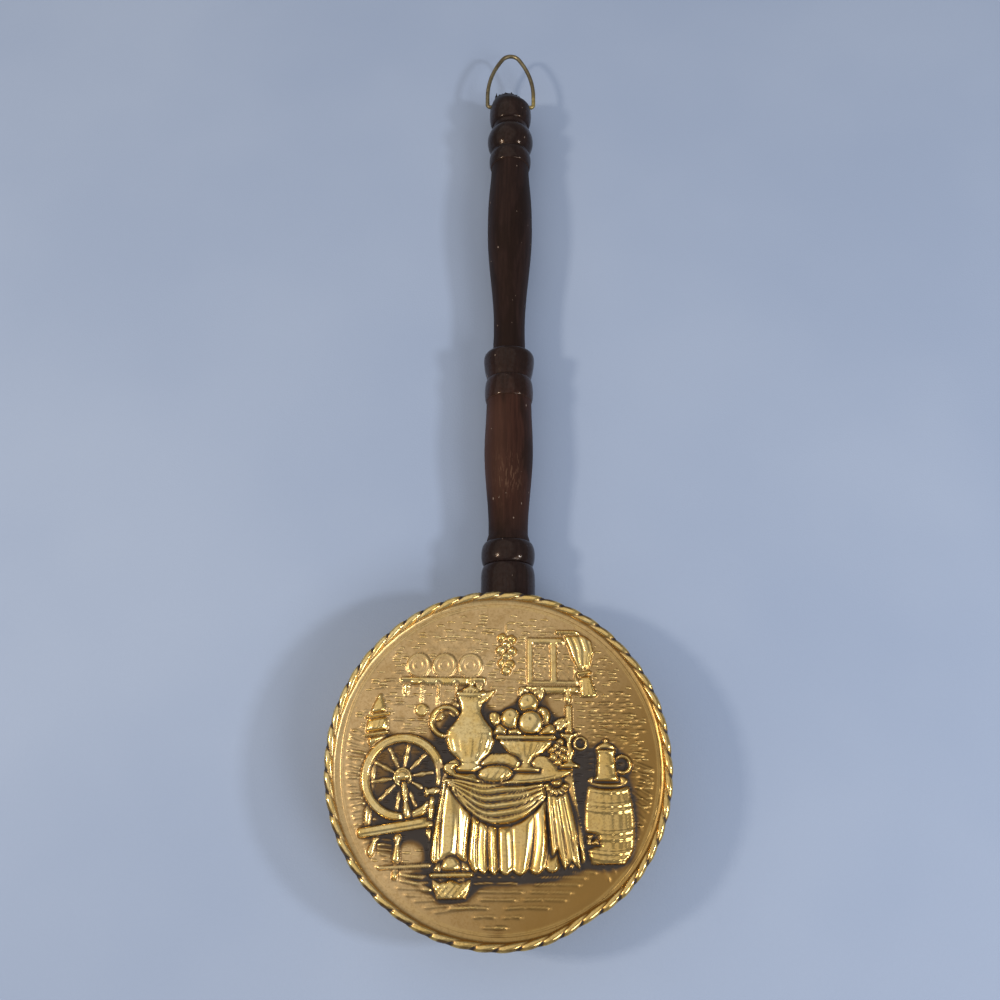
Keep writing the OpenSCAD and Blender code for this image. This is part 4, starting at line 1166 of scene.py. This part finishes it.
def varnished_wood():
    """Dark stained turned wood: glossy varnish on the beads, worn at the corners, scratched on the balusters,
    with a painted sheen down the left of the lower baluster.
    """
    p = Paint("dark_wood")
    gloss, wear = p.attribute("gloss"), p.attribute("wear")
    across, along, _ = p.split()
    grain = p.noise(620, 5, 0.62, 0.3, stretch=(1, 0.045, 1))
    figure = p.noise(130, 4, 0.55, 0.8, stretch=(1, 0.12, 1))
    cloud = p.noise(45, 3, 0.5)
    turning = p.noise(900, 2, 0.6, stretch=(0.15, 1, 0.15))
    warm = p.times(p.ramp(along, 0.105, 0.13), p.ramp(along, 0.22, 0.18))
    deep = p.mix(warm, (0.0142, 0.0084, 0.0084), (0.027, 0.0118, 0.0098))
    light = p.mix(warm, (0.0275, 0.0155, 0.0144), (0.049, 0.0207, 0.0156))
    colour = p.mix(p.ramp(grain, 0.3, 0.76), deep, light)
    colour = p.mix(p.ramp(figure, 0.45, 0.7), colour, (0.014, 0.008, 0.007), 0.18)
    # painted sheen: lighter down the left of the lower baluster; darker in blotches and towards the broken
    # end
    left_sheen = p.times(p.ramp(across, 0.0065, -0.003), p.ramp(along, 0.122, 0.142))
    left_sheen = p.times(left_sheen, p.ramp(along, 0.19, 0.172))
    colour = p.mix(left_sheen, colour, (0.09, 0.043, 0.031), 0.4)
    blotch = p.ramp(p.noise(85, 3, 0.5, stretch=(1, 0.25, 1)), 0.49, 0.58)
    blotch = p.times(blotch, p.math("SUBTRACT", 0.6, p.times(left_sheen, 0.45)))
    blotch = p.most(blotch, p.ramp(along, 0.367, 0.375, 0.0, 0.85))
    blotch = p.most(blotch, p.ramp(gloss, 0.5, 0.95, 0.0, 0.35))
    colour = p.mix(blotch, colour, (0.0095, 0.0060, 0.0056))
    rubbed = p.times(p.ramp(wear, 0.2, 0.9), p.ramp(cloud, 0.4, 0.6, 0.25, 0.8))
    colour = p.mix(rubbed, colour, (0.16, 0.075, 0.04))
    raw = p.ramp(wear, -0.5, -0.95)
    colour = p.mix(raw, colour, p.mix(grain, (0.003, 0.0025, 0.002), (0.015, 0.009, 0.007)))
    # scratches: thin bright lines in two directions, gathered low on the lower baluster
    hairs = []
    for turn, seed in ((0.5, 3.0), (-0.9, 8.0)):
        line = p.add("Mapping", i0=p.place(), i1=(seed, 0, 0), i2=(turn, turn * 0.6, 0.3), i3=(1, 0.12, 1))
        hairs.append(p.ramp(p.noise(1500, 2, 0.4, vector=line), 0.615, 0.645))
    fret = p.most(*hairs)
    aside = p.math("ABSOLUTE", p.math("SUBTRACT", across, 0.0035))
    where = p.times(p.ramp(along, 0.118, 0.130), p.ramp(along, 0.158, 0.140))
    where = p.plus(p.times(where, p.ramp(aside, 0.009, 0.004)), 0.05)
    fret = p.times(fret, p.times(where, p.ramp(cloud, 0.34, 0.5)))
    colour = p.mix(fret, colour, (0.15, 0.085, 0.055), 0.45)
    speck = p.ramp(p.noise(620, 1, 0.3, stretch=(1, 0.6, 1)), 0.79, 0.81)
    colour = p.mix(speck, colour, (0.35, 0.27, 0.22), 0.7)
    rough = p.plus(p.ramp(gloss, 0.1, 0.9, 0.5, 0.2), p.swing(grain, 0.16))
    rough = p.plus(rough, p.times(p.plus(raw, fret), 0.35), clamp=True)
    normal = p.bump(grain, 0.00005, p.ramp(gloss, 0.2, 0.9, 0.9, 0.25))
    normal = p.bump(turning, 0.00004, 0.5, normal)
    normal = p.bump(p.noise(260, 3, 0.6), 0.0002, 0.6, normal)
    coat = p.times(p.ramp(gloss, 0.1, 0.9, 0.0, 0.3), p.rest(raw))
    coat = p.times(coat, p.ramp(p.noise(600, 4, 0.7), 0.36, 0.6, 0.35, 1.0))
    mottle = p.bump(p.noise(800, 3, 0.6), 0.00012, 0.6)
    return p.finish(Base_Color=colour, Roughness=rough, Normal=normal, Coat_Weight=coat, Coat_Roughness=0.1,
                    Coat_Normal=mottle, Specular_IOR_Level=0.25, Specular_Tint=(1.0, 0.6, 0.36), IOR=1.35)


def wire_brass():
    """Dull olive wire, rubbed bright on the right leg."""
    p = Paint("ring_brass")
    cloud = p.noise(150, 4, 0.6)
    pits = p.noise(1100, 3, 0.6)
    draw = p.noise(900, 2, 0.6, stretch=(1, 0.2, 1))
    x, y, _ = p.split()
    rubbed = p.times(p.ramp(x, 0.012, 0.017), p.ramp(y, 0.390, 0.380))
    colour = p.mix(p.ramp(cloud, 0.36, 0.66), (0.30, 0.25, 0.145), (0.185, 0.145, 0.085))
    colour = p.mix(p.ramp(pits, 0.55, 0.7), colour, (0.07, 0.055, 0.035), 0.6)
    colour = p.mix(p.times(rubbed, p.ramp(cloud, 0.6, 0.4, 0.4, 0.9)), colour, (0.62, 0.47, 0.16))
    normal = p.bump(pits, 0.00003, 0.8)
    normal = p.bump(draw, 0.00003, 0.4, normal)
    rough = p.ramp(cloud, 0.3, 0.7, 0.34, 0.5)
    return p.finish(Base_Color=colour, Metallic=1.0, Roughness=rough, Normal=normal)


def plain_steel(name, tone, grain):
    """Steel with fine lines along its grain and a little rust."""
    p = Paint(name)
    lines = p.noise(1600, 3, 0.65, stretch=grain)
    cloud = p.noise(260, 4, 0.6)
    colour = p.mix(p.ramp(cloud, 0.4, 0.7), tone, tuple(0.6 * c for c in tone))
    colour = p.mix(p.ramp(cloud, 0.62, 0.75), colour, (0.16, 0.085, 0.045), 0.5)
    rough = p.plus(p.swing(lines, 0.2), 0.34)
    return p.finish(Base_Color=colour, Metallic=1.0, Roughness=rough, Normal=p.bump(lines, 0.00002, 0.6))


def paint(obj, material):
    obj.data.materials.clear()
    obj.data.materials.append(material)


def make_floor():
    half, z = 2600, -0.03
    corners = [(-half, -half, z), (half, -half, z), (half, half, z), (-half, half, z)]
    floor = new_mesh("floor", corners, [[0, 1, 2, 3]])
    p = Paint("floor_pale")
    tone = p.mix(p.ramp(p.noise(5, 3, 0.5), 0.3, 0.7), (0.335, 0.42, 0.60), (0.375, 0.46, 0.635))
    weave = p.bump(p.noise(900, 3, 0.6), 0.0003, 0.3)
    paint(floor, p.finish(Base_Color=tone, Roughness=0.9, Normal=weave))


# ---- putting it together
def main():
    look_through()
    light_up()
    make_floor()
    pieces = (
        (make_cover(), embossed_brass(), "pan", "front_cover", "embossed_brass"),
        (make_pan(), spun_brass(), "pan", "back_pan", "pan_brass"),
        (make_handle(), varnished_wood(), "pan", "handle", "dark_wood"),
        (make_ring(), wire_brass(), "ring", "hanging_ring", "ring_brass"),
    )
    for piece, material, body, node, slot in pieces:
        paint(piece, material)
        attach(piece, body)
        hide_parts(node)
    paint(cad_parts["handle_screw"], plain_steel("screw_steel", (0.60, 0.60, 0.59), (1, 0.2, 1)))
    paint(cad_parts["saddle_washer"], plain_steel("washer_steel", (0.55, 0.55, 0.56), (1, 1, 0.2)))


main()
